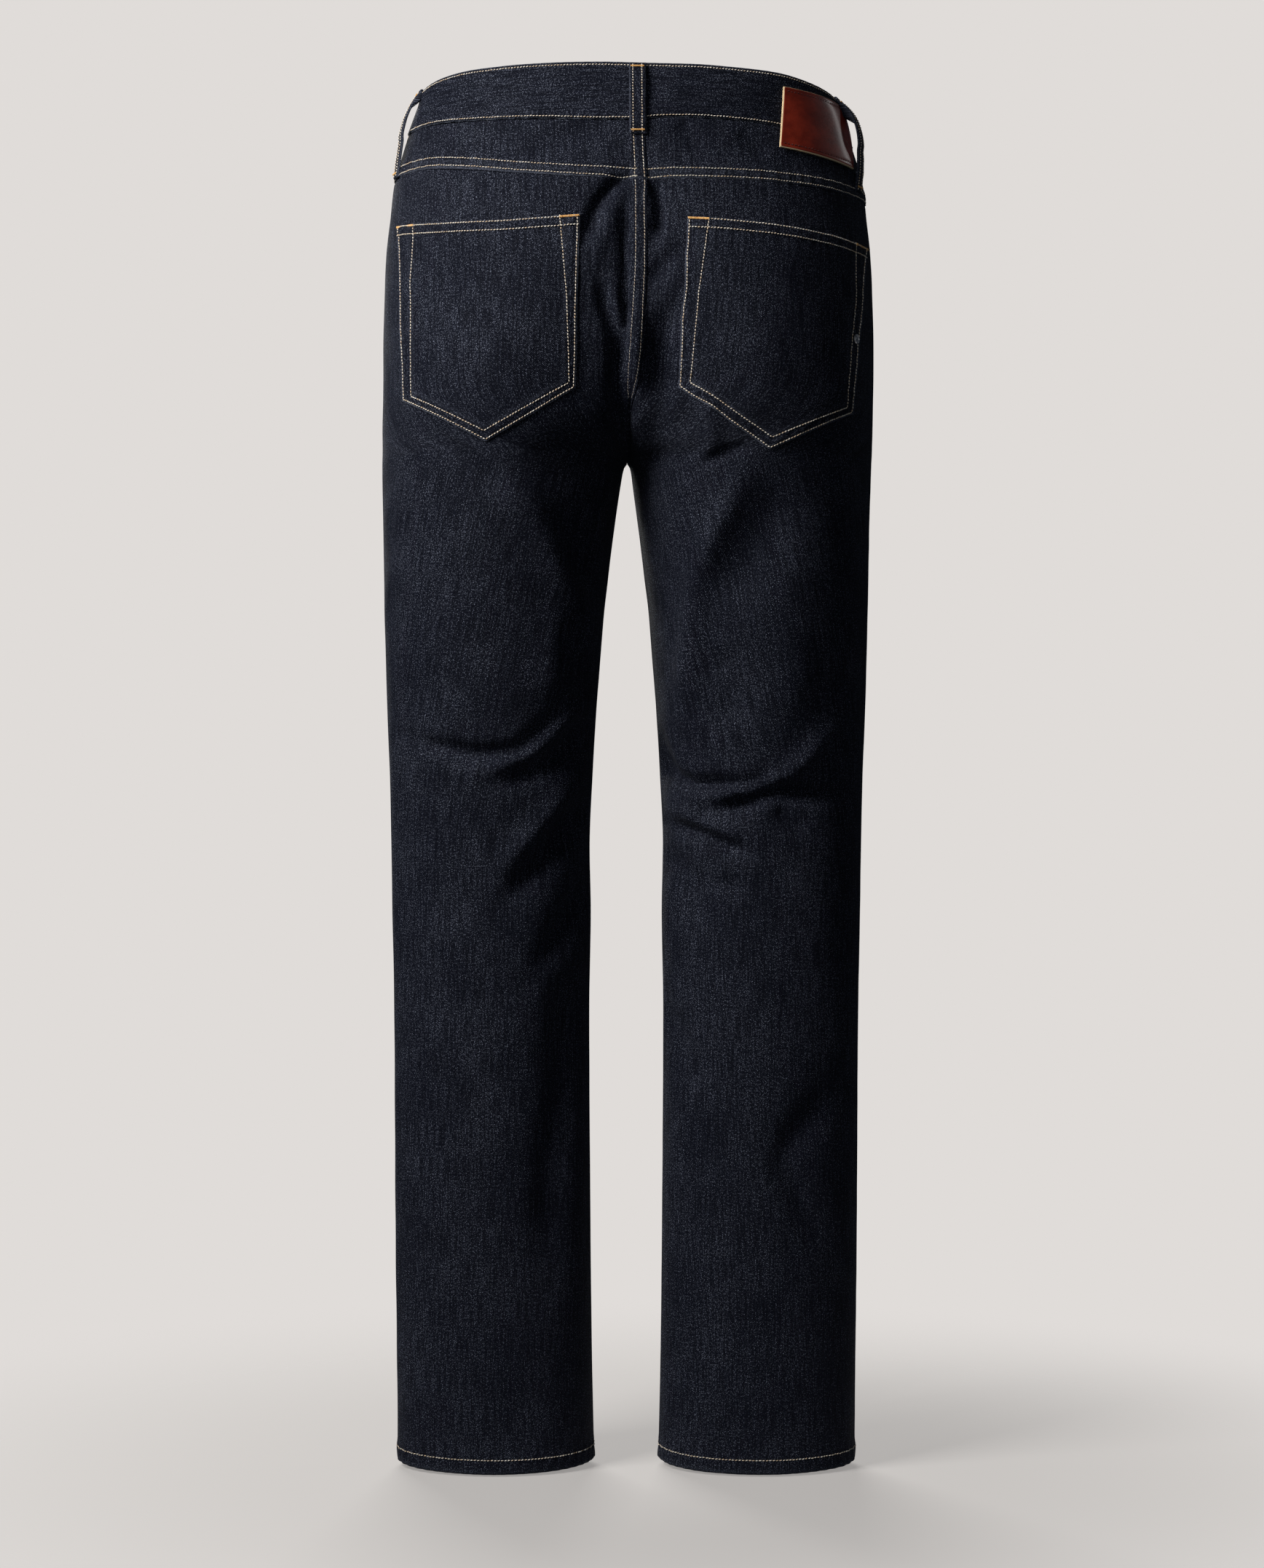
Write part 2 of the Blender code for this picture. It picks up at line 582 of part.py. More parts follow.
# ---------------------------------------------------------------- panels
# Levels of the rows of a leg panel below its shaped top, closest together where it folds.
BACK_LEVELS = (
    880, 864, 850, 838, 828, 820, 813, 805, 795, 778, 756, 730, 700, 670, 645, 625, 610, 597, 585,
    574, 563, 552, 541, 530, 518, 505, 490, 470, 445, 415, 375, 330, 280, 225, 165, 105, 55, 30,
)
FRONT_LEVELS = (
    880, 864, 850, 838, 828, 820, 813, 805, 795, 775, 745, 710, 670, 630, 600, 580, 566, 552, 538,
    524, 510, 494, 474, 450, 415, 365, 305, 240, 170, 105, 55, 30,
)
SHAPED_TO = 903.0  # the shaped top of a panel is level again here


def hem_rows():
    """Levels of the last rows, with the number of layers of cloth that each holds."""
    above_step = HEM_DEPTH + 1.0
    return ((above_step, 1.0), (HEM_DEPTH, HEM_LAYERS), (1.5, HEM_LAYERS), (0.0, HEM_LAYERS))


def hem_lift(points, levels):
    """Raises the lowest rows towards the front, so that the hem dips at the heel."""
    near_hem = 1 - smooth_steps(levels, 0.0, 130.0)
    forward = np.clip(0.5 - points[..., 1] / (2 * SECTIONS[-1].rear), 0, 1)
    points[..., 2] += HEM_FRONT_RISE * forward * near_hem
    return points


def leg_panel(name, quarter, along, top, levels, material):
    """A back or front panel, from its shaped top edge to its hem."""
    shaped = np.linspace(0, 1, 6)[:-1, None]
    upper = top[None, :] * (1 - shaped) + SHAPED_TO * shaped
    hems = np.array(hem_rows())
    lower = np.concatenate([[SHAPED_TO], levels, hems[:, 0]])
    level = np.concatenate([upper, np.repeat(lower[:, None], len(along), axis=1)])
    layers = np.ones(len(level))
    layers[-len(hems):] = hems[:, 1]
    thick = (DENIM * layers)[:, None] + 0 * level
    outer = hem_lift(quarter.at(level, along[None, :]), level)
    inner = hem_lift(quarter.at(level, along[None, :], -thick), level)
    make_wall(name, outer, inner, material)
    return outer


def back_panel(quarter, material):
    along = np.linspace(0, 1, 15)
    top = quarter.line(YOKE_BOTTOM, along) - SEAM_GAP
    return leg_panel(f"back_{quarter.side}", quarter, along, top, BACK_LEVELS, material)


def scoop_height(quarter, along):
    """The front pocket's mouth: steep where it leaves the band, flat where it meets the side."""
    band = quarter.line(BAND_BOTTOM, along) - SEAM_GAP
    share = np.clip(np.asarray(along) / SCOOP_ALONG, 0, 1)
    return band - SCOOP_DROP * np.sqrt(np.clip(1 - share**2, 0, 1)) ** 1.2


def mouth_places():
    """Where along the front rows the points of the pocket's mouth stand."""
    return SCOOP_ALONG * np.sin(np.linspace(0, np.pi / 2, 9))


def front_panel(quarter, material):
    along = np.concatenate([mouth_places(), np.linspace(SCOOP_ALONG, 1, 6)[1:]])
    top = scoop_height(quarter, along)
    return leg_panel(f"front_{quarter.side}", quarter, along, top, FRONT_LEVELS, material)


def pocket_facing(quarter, material):
    """The cloth that shows in the front pocket's mouth, one layer behind the front panel."""
    row_length = np.interp(1020.0, quarter.levels, quarter.row_lengths)
    reach = SCOOP_ALONG + FACING_UNDERLAP / row_length
    along = np.append(mouth_places(), reach)
    top = quarter.line(BAND_BOTTOM, along) - SEAM_GAP
    bottom = quarter.line(BAND_BOTTOM, along) - SCOOP_DROP - FACING_UNDERLAP
    shares = np.linspace(0, 1, 6)[:, None]
    level = top * (1 - shares) + bottom * shares
    lift = -(DENIM + 3 * SEAM_GAP)
    outer = quarter.at(level, along[None, :], lift + 0 * level)
    inner = quarter.at(level, along[None, :], lift - DENIM + 0 * level)
    return make_wall(f"pocket_facing_{quarter.side}", outer, inner, material)


def yoke(quarter, material):
    along = np.linspace(0, 1, 15)
    top = quarter.line(BAND_BOTTOM, along) - SEAM_GAP
    bottom = quarter.line(YOKE_BOTTOM, along)
    shares = np.linspace(0, 1, 5)[:, None]
    level = top * (1 - shares) + bottom * shares
    outer = quarter.at(level, along[None, :])
    inner = quarter.at(level, along[None, :], -DENIM + 0 * level)
    return make_wall(f"yoke_{quarter.side}", outer, inner, material)


def waistband(quarters, material):
    """One band all round the waist, with its two ends meeting at centre front."""
    shares = np.array([0.0, 0.04, 0.35, 0.68, 1.0])[:, None]
    order = (("left", FORE), ("left", REAR), ("right", REAR), ("right", FORE))
    outer, inner = [], []
    for index, key in enumerate(order):
        quarter = quarters[key]
        to_centre = np.linspace(0, 1, 15)
        along = to_centre if index % 2 else to_centre[::-1]
        along = along[:-1] if index < 3 else along
        top = quarter.line(BAND_TOP, along)
        bottom = quarter.line(BAND_BOTTOM, along)
        level = top * (1 - shares) + bottom * shares
        outer.append(quarter.at(level, along[None, :], BAND_PROUD + 0 * level))
        inner.append(quarter.at(level, along[None, :], BAND_PROUD - BAND_THICK + 0 * level))
    outer, inner = np.concatenate(outer, axis=1), np.concatenate(inner, axis=1)
    return make_wall("waistband", outer, inner, material)


# ---------------------------------------------------------------- what lies on the panels
def back_pocket(side, panel, material):
    """A patch pocket, closed all round, on the back panel."""
    corners = POCKETS[side]
    outline = [corners.top_in, corners.top_out, corners.side_out, corners.point, corners.side_in]
    return laid_on(f"back_pocket_{side}", panel, outline, POCKET_THICK, material)


def leather_patch(quarter, material):
    """The patch on the right back of the band, which hangs over the yoke's top."""
    down = np.linspace(0, 1, 5)[:, None, None]
    grid = np.linspace(*PATCH_TOP, 9) * (1 - down) + np.linspace(*PATCH_BOTTOM, 9) * down
    along, level = grid[..., 0], grid[..., 1]
    lift = BAND_PROUD + OVER_BAND_GAP
    outer = quarter.at(level, along, lift + PATCH_THICK + 0 * level)
    inner = quarter.at(level, along, lift + 0 * level)
    return make_wall("leather_patch", outer, inner, material)


def fly(panel, material):
    """The raised fly on the left front, straight down the centre and curved in at its foot."""
    top = panel[0, -1, 2]
    turn = np.linspace(0, np.pi / 2, 6)[1:-1]
    corner = FLY_WIDTH * 0.9
    outline = [(SEAM_GAP, top + 50.0), (FLY_WIDTH, top + 50.0), (FLY_WIDTH, top - FLY_LENGTH + corner)]
    for x, drop in zip(np.cos(turn), np.sin(turn)):
        outline.append((FLY_WIDTH - corner * (1 - x), top - FLY_LENGTH + corner * (1 - drop)))
    outline += [(FLY_WIDTH - corner, top - FLY_LENGTH), (SEAM_GAP, top - FLY_LENGTH)]
    return laid_on("fly", panel, outline, FLY_THICK, material)


def belt_loop(name, place, quarter, material):
    """A folded strap, sewn down at both ends, that stands off the band between them."""
    row_length = np.interp(1085.0, quarter.levels, quarter.row_lengths)
    shares = np.linspace(0, 1, 15)
    along = place.top * (1 - shares) + place.bottom * shares
    top = quarter.line(BAND_TOP, place.top) + LOOP_ABOVE_EDGE
    band_edge = quarter.line(BAND_BOTTOM, place.bottom)
    level = top * (1 - shares) + (band_edge - place.below) * shares
    lift = OVER_BAND_GAP + BAND_PROUD * smooth_steps(level, band_edge - 8.0, band_edge - 1.0)
    lift += place.bow * np.sin(np.pi * np.clip((shares - 0.05) / 0.9, 0, 1) ** LOOP_SKEW)
    centre = quarter.at(level, along)
    normal = (quarter.at(level, along, 1.0) - centre).mean(0) * (1, 1, 0)
    normal /= np.linalg.norm(normal)
    across = np.linspace(-0.5, 0.5, 5) * LOOP_WIDTH
    spread = centre[:, None] + np.cross((0, 0, 1), normal) * across[:, None]
    towards = quarter.sign * (1 if quarter.face == REAR else -1)
    steps = towards * across if place.top < 1 else -np.abs(across)
    beside = quarter.at(level[:, None], along[:, None] + steps / row_length)
    fall = (centre[:, None] - beside) @ normal
    inner = spread + normal * (lift[:, None] - fall)[..., None]
    outer = inner + normal * LOOP_THICK
    return make_wall(f"belt_loop_{name}", outer, inner, material)


# ---------------------------------------------------------------- metal
def turned(name, profile, place, outward, material, steps=24):
    """A solid of revolution: profile is (radius, height) pairs from its foot to its crown."""
    outward = outward / np.linalg.norm(outward)
    across = np.cross((0.0, 0.0, 1.0), outward)
    across /= np.linalg.norm(across)
    up = np.cross(outward, across)
    turn = np.linspace(0, 2 * np.pi, steps, endpoint=False)
    ring = np.cos(turn)[:, None] * across + np.sin(turn)[:, None] * up
    vertices = [place + outward * profile[0][1]]
    for radius, height in profile:
        vertices.extend(place + outward * height + ring * radius)
    vertices.append(place + outward * profile[-1][1])
    last = len(vertices) - 1
    faces = []
    for k in range(steps):
        n = (k + 1) % steps
        faces.append((0, 1 + n, 1 + k))
        for level in range(len(profile) - 1):
            a, b = 1 + level * steps + k, 1 + level * steps + n
            faces.append((a, b, b + steps, a + steps))
        crown = 1 + (len(profile) - 1) * steps
        faces.append((crown + k, crown + n, last))
    return make_object(name, vertices, faces, material)


def button(quarter, material):
    """A tack button on the band at centre front, on its short neck."""
    height = quarter.line(BAND_TOP, np.array([1.0]))[0] / 2
    height += quarter.line(BAND_BOTTOM, np.array([1.0]))[0] / 2
    place = quarter.at(height, 1.0, BAND_PROUD + SEAM_GAP)
    place[0] = BUTTON_RADIUS * 1.3
    outward = np.array([0.0, -1.0, 0.0])
    neck, rim = 0.45 * BUTTON_RADIUS, BUTTON_RADIUS
    profile = (
        (neck, 0.6),
        (neck, 0.3 * BUTTON_HEIGHT),
        (0.94 * rim, 0.36 * BUTTON_HEIGHT),
        (rim, 0.62 * BUTTON_HEIGHT),
        (0.92 * rim, 0.92 * BUTTON_HEIGHT),
        (0.80 * rim, BUTTON_HEIGHT),
        (0.66 * rim, 0.86 * BUTTON_HEIGHT),
        (0.20 * rim, 0.80 * BUTTON_HEIGHT),
    )
    return turned("button", profile, place, outward, material)


def pocket_rivet(quarter, material):
    """The round rivet on the outer edge of the right back pocket."""
    x, height = RIVET_PLACE
    level, along = quarter.along_of(np.array([x]), np.array([height]))
    foot = quarter.at(level, along, SEAM_GAP + POCKET_THICK + 0 * level)[0]
    outward = quarter.at(level, along, 1.0 + 0 * level)[0] - quarter.at(level, along)[0]
    seat = SEAM_GAP + RIVET_CLEAR
    profile = (
        (RIVET_RADIUS, seat),
        (RIVET_RADIUS, seat + 0.5 * RIVET_HEIGHT),
        (0.86 * RIVET_RADIUS, seat + RIVET_HEIGHT),
        (0.62 * RIVET_RADIUS, seat + RIVET_HEIGHT),
        (0.50 * RIVET_RADIUS, seat + 0.55 * RIVET_HEIGHT),
    )
    return turned("pocket_rivet", profile, foot, outward, material, steps=20)


def main():
    for old in list(bpy.data.objects):
        bpy.data.objects.remove(old)
    denim = make_material("denim", DENIM_BLUE, 0.85)
    facing = make_material("pocket_denim", DENIM_INSIDE, 0.9)
    leather = make_material("leather", LEATHER_BROWN, 0.35)
    metal = make_material("metal", OLD_BRASS, 0.35, metallic=1.0)

    quarters = {(side, face): Quarter(side, face) for side in SIDES for face in (REAR, FORE)}
    waistband(quarters, denim)
    for side in SIDES:
        back, front = quarters[side, REAR], quarters[side, FORE]
        yoke(back, denim)
        pocket_facing(front, facing)
        back_pocket(side, back_panel(back, denim), denim)
        front_grid = front_panel(front, denim)
        if side == "left":
            fly(front_grid, denim)
    for name, place in BELT_LOOPS.items():
        belt_loop(name, place, quarters[place.side, place.face], denim)
    leather_patch(quarters["right", REAR], leather)
    button(quarters["left", FORE], metal)
    pocket_rivet(quarters["right", REAR], metal)


main()
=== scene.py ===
"""Looks of the straight leg jeans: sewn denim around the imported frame.

The cloth follows the same surface as the frame's solids. It is made of four quarters, left and
right, back and front. A quarter is a stack of rows, from the outseam to the centre seam above the
crotch or to the inseam below it. Lengths are in millimetres until the meshes are made, and heights
are measured up from the hem. +X is the wearer's left and +Y the wearer's back.
"""

from collections import namedtuple

import bpy
import numpy as np
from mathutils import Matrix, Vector


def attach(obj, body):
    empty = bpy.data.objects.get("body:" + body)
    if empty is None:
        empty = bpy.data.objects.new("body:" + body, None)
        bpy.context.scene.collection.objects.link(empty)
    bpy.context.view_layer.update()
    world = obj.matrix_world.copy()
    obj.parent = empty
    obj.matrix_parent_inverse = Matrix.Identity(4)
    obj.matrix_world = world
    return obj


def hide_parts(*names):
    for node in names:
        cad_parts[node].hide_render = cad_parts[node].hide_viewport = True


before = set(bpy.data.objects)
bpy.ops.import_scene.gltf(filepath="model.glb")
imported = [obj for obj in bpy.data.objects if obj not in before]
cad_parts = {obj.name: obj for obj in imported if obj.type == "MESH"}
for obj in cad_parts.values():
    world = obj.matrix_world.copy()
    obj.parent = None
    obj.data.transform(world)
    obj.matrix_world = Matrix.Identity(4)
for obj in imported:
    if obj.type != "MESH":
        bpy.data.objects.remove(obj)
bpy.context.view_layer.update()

MM = 0.001

ORIGIN_HEIGHT = 1100.0  # middle of the waist opening, above the hem
TOP_LEVEL = 1120.0  # the rows of the surface end here, above the band
CROTCH_HEIGHT = 813.0  # a 32 inch inseam
SEAM_GAP = 0.3  # free space between two neighbouring pieces
DENIM = 1.3  # thickness of one layer of cloth
HEM_DEPTH = 12.0  # turned up hem
HEM_FRONT_RISE = 7.0  # the hem is this much higher at the front than at the back
HEM_RISE_TO = 130.0  # which dies away up to here

BAND_PROUD = 1.0  # the waistband stands this far outside the panels
BAND_THICK = 2.8
LOOP_WIDTH = 13.0
LOOP_THICK = 2.4
OVER_BAND_GAP = 0.5  # free space under what is sewn over the band
LOOP_ABOVE_EDGE = 1.0  # a belt loop's folded end reaches this far over the band's top edge
POCKET_THICK = 1.3
PATCH_THICK = 1.8
FLY_THICK = 1.0
BUTTON_RADIUS = 8.5
BUTTON_HEIGHT = 5.0
RIVET_RADIUS = 3.8
RIVET_HEIGHT = 1.6
RIVET_PLACE = (-180.5, 904.3)  # its (x, height) on the right back pocket

def named_rows(fields, *rows):
    kind = namedtuple("Row", fields)
    return [kind(*row) for row in rows]


# One row for each height: how far the outseam stands from the centre plane, the rearmost and
# foremost points, how far from the centre plane those points lie, and how square the curve
# between them is: 2 is an ellipse, and more is squarer.
SECTIONS = named_rows(
    "height out rear fore crown square",
    (1120, 165.5, 102.6, -105, 0, 2.35), (1104, 169, 105.1, -106.2, 0, 2.3),
    (1088, 175, 107.7, -107.5, 2, 2.2), (1069, 181.2, 110.8, -109, 10, 2.1),
    (1036, 190.5, 116.5, -111.5, 26, 2), (1010, 193.2, 121, -112.5, 42, 2),
    (983, 196.2, 125, -113.5, 56, 2), (956, 197.6, 128, -113.5, 66, 2),
    (903, 198.8, 128.5, -112.5, 79, 2), (850, 198.8, 121, -109.5, 91, 2),
    (813, 198.3, 111.5, -106, 98, 2), (770, 197.3, 102.5, -101.5, 102.5, 2),
    (716, 196.4, 94, -96.5, 105.5, 2), (663, 195.3, 86, -91, 107.5, 2), (610, 193.8, 77.5, -85, 109, 2),
    (556, 191.7, 69.5, -78.5, 110, 2), (503, 190.6, 64, -72, 110.5, 2), (450, 189.8, 62, -66, 110, 2),
    (370, 188.3, 60.5, -60.5, 109.5, 2), (183, 187.2, 54, -53.5, 108, 2), (76, 186, 50, -48.5, 107, 2),
    (0, 185.4, 48.5, -45.5, 106, 2),
)

# How far the inseam stands from the centre plane below the crotch.
INSEAMS = named_rows(
    "height gap",
    (813, 0.15), (811, 2.3), (806, 3.7), (796, 5.3), (770, 8.9), (743, 12.4), (716, 15.7), (690, 18.7),
    (663, 20.8), (610, 24.9), (556, 28), (503, 30.2), (450, 29.2), (370, 30.4), (183, 29.3), (76, 28),
    (0, 26.3),
)

# Where the centre seam runs. Each row of the surface starts at `level` on the outseam and ends on
# the seam at `y` and `height`. The seam goes down the seat, under the body and up to the fly.
CENTRE_SEAM = named_rows(
    "level back_y back_height front_y front_height",
    (1120, 102.6, 1120, -105, 1120), (1088, 107.6, 1088, -107.4, 1088), (1069, 110.2, 1069, -108.8, 1069),
    (1036, 114.5, 1036, -110.5, 1036), (1010, 117.5, 1010, -111, 1010), (983, 119.5, 983, -111, 983),
    (956, 120.5, 956, -110, 956), (930, 119.5, 930, -107.5, 930), (903, 116, 903, -103, 903),
    (880, 109, 879, -96, 879), (864, 99.5, 862, -87.5, 862.5), (850, 85, 846, -75.5, 847),
    (838, 66, 832, -60, 834), (828, 44, 821.5, -42, 824), (820, 20, 815.5, -23, 817),
    (813, -5, 813, -5, 813),
)
INSEAM_Y = -5.0
VALLEY_LEVEL = 895.0  # above this the seat dips smoothly into the centre seam
TUBE_LEVEL = 838.0  # below this each leg rounds away from the centre seam as a tube

# The centre back seam strays sideways, because the wearer stood slightly turned.
BACK_SEAM_STRAY = named_rows(
    "height x",
    (1120, -7.2), (1060, -7.6), (1020, -9), (970, -9.3), (935, -8.2), (900, -6.2), (860, -3.2), (813, 0),
)

# The hips stand a little to the wearer's right of the feet.
HIP_SWAY = 1.8
SWAY_FROM, SWAY_TO = 760.0, 900.0

# Heights of the lines that run round the body, from the side (0) to the centre (1), on the back of
# each side and on both fronts.
BAND_TOP = named_rows(
    "along left right front",
    (0, 1110, 1102.5, 1106), (0.14, 1112, 1105, 1104), (0.28, 1114.8, 1108.9, 1101),
    (0.45, 1116.8, 1113, 1098), (0.72, 1117.6, 1115.2, 1092.5), (1, 1116.7, 1116.7, 1088),
)
BAND_BOTTOM = named_rows(
    "along left right front",
    (0, 1077.5, 1067, 1072), (0.25, 1077.3, 1067.6, 1065), (0.45, 1075.2, 1069.4, 1058.5),
    (0.62, 1073.5, 1071.6, 1053), (0.86, 1071.2, 1073, 1046.5), (1, 1070.4, 1070.8, 1044),
)
YOKE_BOTTOM = named_rows(
    "along left right front",
    (0, 1038.5, 1020.5, 0), (0.16, 1040.8, 1021, 0), (0.3, 1040.6, 1021.7, 0), (0.48, 1035.5, 1022.5, 0),
    (0.64, 1029.6, 1022.8, 0), (0.85, 1024.2, 1023, 0), (1, 1023, 1022.6, 0),
)

# A fold is a soft trough (negative depth) or ridge of some width, along a path of (x, height) points,
# as seen from behind for the back and through the body for the front: (depth, width, *path).
BACK_FOLDS = (
    # beside and below the centre back seam
    (-6, 5, (-5, 1027), (11, 1017), (24, 998), (31, 974)), (2.5, 7, (3, 1012), (15, 985), (27, 957)),
    (-5, 4, (1, 1008), (1, 957), (0, 918), (1, 885)), (-7.5, 7, (6, 905), (6, 870), (5, 835), (2, 810)),
    (-6.5, 5, (20, 946), (15, 921), (9, 900), (5, 878)), (2.5, 5, (12, 940), (3, 905)),
    (-7.5, 5, (-18, 1025), (-25, 1004), (-24, 974)), (2, 4, (-16, 1022), (-19, 1004), (-19, 982)),
    (-4.5, 8, (-46, 970), (-31, 957), (-19, 941)),
    (-7, 10, (-50, 935), (-33, 914), (-27, 890), (-25, 855), (-26, 812)),
    (4.5, 8, (-9, 930), (-8, 890), (-9, 850), (-10, 812)), (-5, 15, (-46, 880), (-44, 850), (-46, 820)),
    (2.5, 9, (-32, 985), (-38, 940), (-56, 915)), (4, 6, (-60, 856), (-68, 830), (-62, 800)),
    # across the yoke
    (-2.5, 8, (-40, 1070), (-48, 1058), (-57, 1043)), (-2.5, 9, (-85, 1063), (-100, 1053), (-114, 1044)),
    (-2, 9, (4, 1067), (40, 1060), (80, 1044)),
    # under the seat
    (-4, 9, (163, 837), (125, 806), (85, 775)), (-2, 18, (34, 840), (52, 808), (58, 780)),
    (6, 12, (100, 806), (84, 776), (64, 748), (50, 712), (34, 682), (22, 654)),
    (-3, 15, (48, 780), (38, 735), (26, 700)), (-3.2, 4, (-56, 799), (-74, 811), (-98, 816)),
    (-7.5, 23, (-124, 790), (-100, 735), (-76, 694)), (-4, 16, (-68, 662), (-86, 625), (-84, 592)),
    (3, 16, (-126, 690), (-134, 640), (-124, 598)),
    (6.5, 10, (-92, 795), (-72, 752), (-56, 708), (-50, 650), (-47, 600)),
    # behind the left knee
    (-8, 7, (178, 591), (150, 582), (112, 575), (89, 578), (58, 603), (35, 626)),
    (6, 9, (118, 563), (81, 576), (58, 597), (31, 625)),
    (4, 12, (52, 700), (58, 668), (60, 640), (56, 615)), (-7, 11, (104, 553), (64, 568), (28, 606)),
    (5, 9, (98, 484), (64, 526), (42, 550)), (-7, 10, (30, 541), (58, 504), (95, 458)),
    (-5, 10, (30, 482), (47, 445), (72, 400)),
    # behind the right knee
    (-8, 6, (-27, 589), (-35, 562), (-55, 552), (-93, 552), (-121, 562)),
    (5, 8, (-52, 543), (-92, 547), (-127, 560), (-165, 597)),
    (-9, 7, (-61, 528), (-93, 537), (-121, 546), (-178, 542)),
    (3.5, 8, (-36, 537), (-61, 520), (-100, 508)), (-8, 6, (-32, 521), (-58, 513), (-98, 496)),
    (-3.5, 9, (-50, 483), (-70, 472), (-98, 471)), (-3.5, 10, (-118, 536), (-145, 513)),
    # down the calves
    (-6, 14, (47, 425), (50, 319), (60, 232), (61, 151)), (-4, 11, (-30, 503), (-50, 470), (-70, 440)),
    (-4, 11, (-32, 376), (-61, 306)), (-5.5, 13, (-172, 315), (-128, 252), (-168, 176)),
)
FRONT_FOLDS = (
    # fanning out from the crotch
    (-3.5, 10, (14, 868), (60, 888), (112, 918)), (-3.5, 10, (10, 846), (58, 850), (122, 872)),
    (-3, 11, (14, 822), (58, 812), (110, 822)), (-3.5, 10, (-12, 872), (-52, 896), (-96, 926)),
    (-3, 11, (-10, 848), (-60, 858), (-128, 884)), (-3, 10, (-14, 826), (-60, 822), (-116, 838)),
    # down the thighs
    (-3, 22, (92, 770), (112, 700), (104, 636)), (-3, 20, (-84, 780), (-104, 716), (-98, 650)),
    # over the knees
    (-3.5, 10, (44, 566), (84, 550), (138, 560), (172, 580)),
    (-3.5, 11, (40, 524), (88, 508), (150, 516)), (-2.5, 12, (52, 470), (96, 462), (140, 472)),
    (-3.5, 10, (-40, 574), (-92, 556), (-150, 572)),
    (-3.5, 11, (-46, 530), (-90, 520), (-142, 508), (-174, 512)),
    (-2.5, 12, (-60, 478), (-112, 466), (-150, 470)),
    # down the shins
    (-3, 17, (84, 400), (96, 300), (86, 190)), (-3, 16, (-112, 390), (-98, 290), (-108, 170)),
)

# Corners of a back pocket as (x, height): along the top, down the outer side, round the point.
Pocket = namedtuple("Pocket", "top_in top_out side_out point side_in")
POCKETS = {
    "left": Pocket((36, 994), (181, 997), (176, 855), (109, 819), (39.5, 860)),
    "right": Pocket((-48, 992), (-192, 981.5), (-179, 845), (-112, 813), (-41.5, 861.5)),
}

# Belt loops: which quarter, how far along its row from the side (0) to the centre (1) at the top
# and at the bottom, how far the loop stands off the band, and how far it reaches below the band.
BeltLoop = namedtuple("BeltLoop", "side face top bottom bow below")
BELT_LOOPS = {
    "back": BeltLoop("left", "back", 1.0, 1.0, 2.2, 10.0),
    "side_left": BeltLoop("left", "back", 0.085, 0.10, 5.2, 37.0),
    "side_right": BeltLoop("right", "back", 0.105, 0.155, 9.5, 40.5),
    "front_left": BeltLoop("left", "front", 0.46, 0.51, 2.2, 11.0),
    "front_right": BeltLoop("right", "front", 0.46, 0.51, 2.2, 11.0),
}
LOOP_SKEW = 0.6  # a loop stands off the furthest above its middle

SCOOP_ALONG = 0.50  # the front pocket's mouth meets the band here along the front row
SCOOP_DROP = 82.0  # and meets the outseam this far below the band
FACING_UNDERLAP = 14.0  # the pocket facing runs this far behind the front panel

# The leather patch's outer and inner corners, as places along the right back row and levels.
PATCH_TOP = ((0.05, 1096.5), (0.452, 1101.5))
PATCH_BOTTOM = ((0.175, 1044.0), (0.515, 1051.5))

FLY_WIDTH = 38.0
FLY_LENGTH = 138.0

# Half outlines of the metal, as shares of its radius and height, from the foot to the crown.
BUTTON_PROFILE = (
    (0.45, 0.12), (0.45, 0.30), (0.90, 0.34), (1.0, 0.50), (1.0, 0.74), (0.95, 0.94), (0.86, 1.0),
    (0.74, 0.97), (0.70, 0.84), (0.64, 0.80), (0.60, 0.86), (0.52, 0.86), (0.48, 0.80), (0.10, 0.83),
)
RIVET_PROFILE = (
    (1.0, 0.03125), (1.0, 0.45), (0.93, 0.85), (0.82, 1.0), (0.70, 0.95), (0.62, 0.50), (0.52, 0.28),
    (0.30, 0.24), (0.20, 0.42), (0.05, 0.50),
)
METAL_CREASE, CLOTH_CREASE = 0.6, 1.05  # edges sharper than this many radians stay sharp

REAR, FORE = "back", "front"
SIDES = {"left": 1, "right": -1}

# ---------------------------------------------------------------- looks

CAMERA_PLACE = (-0.0047, 2.6, -0.5478)
LENS, SENSOR = 73.32, 36.0
FLOOR_HEIGHT, FLOOR_RADIUS = -1.1015, 3.2

BACKGROUND = (0.7454, 0.7157, 0.6939)
AMBIENT = (0.013, 0.018, 0.025)
FLOOR_COLOUR = (0.34, 0.327, 0.317)
FLOOR_GLOW = 0.40  # the paper is lit from beneath, so that its shadows stay pale
FOLD_STRENGTH = 1.12  # the cloth is creased a little more sharply than its solid
# name, place, target, size, power, colour
LIGHTS = (
    ("key", (1.22, 0.97, 0.62), (0.0, 0.0, -0.30), (0.8, 0.9), 35.0, (1.0, 0.985, 0.96)),
    ("gloss", (-1.32, -0.70, 0.60), (-0.165, 0.055, -0.017), (0.10, 0.30), 0.5, (1.0, 1.0, 1.0)),
    ("fill", (-0.1, 2.55, 0.1), (0.0, 0.0, -0.3), (1.2, 1.2), 4.0, (1.0, 0.99, 0.98)),
    ("front", (0.45, -2.5, 0.6), (0.0, 0.0, -0.55), (1.6, 1.6), 72.0, (1.0, 0.99, 0.97)),
)

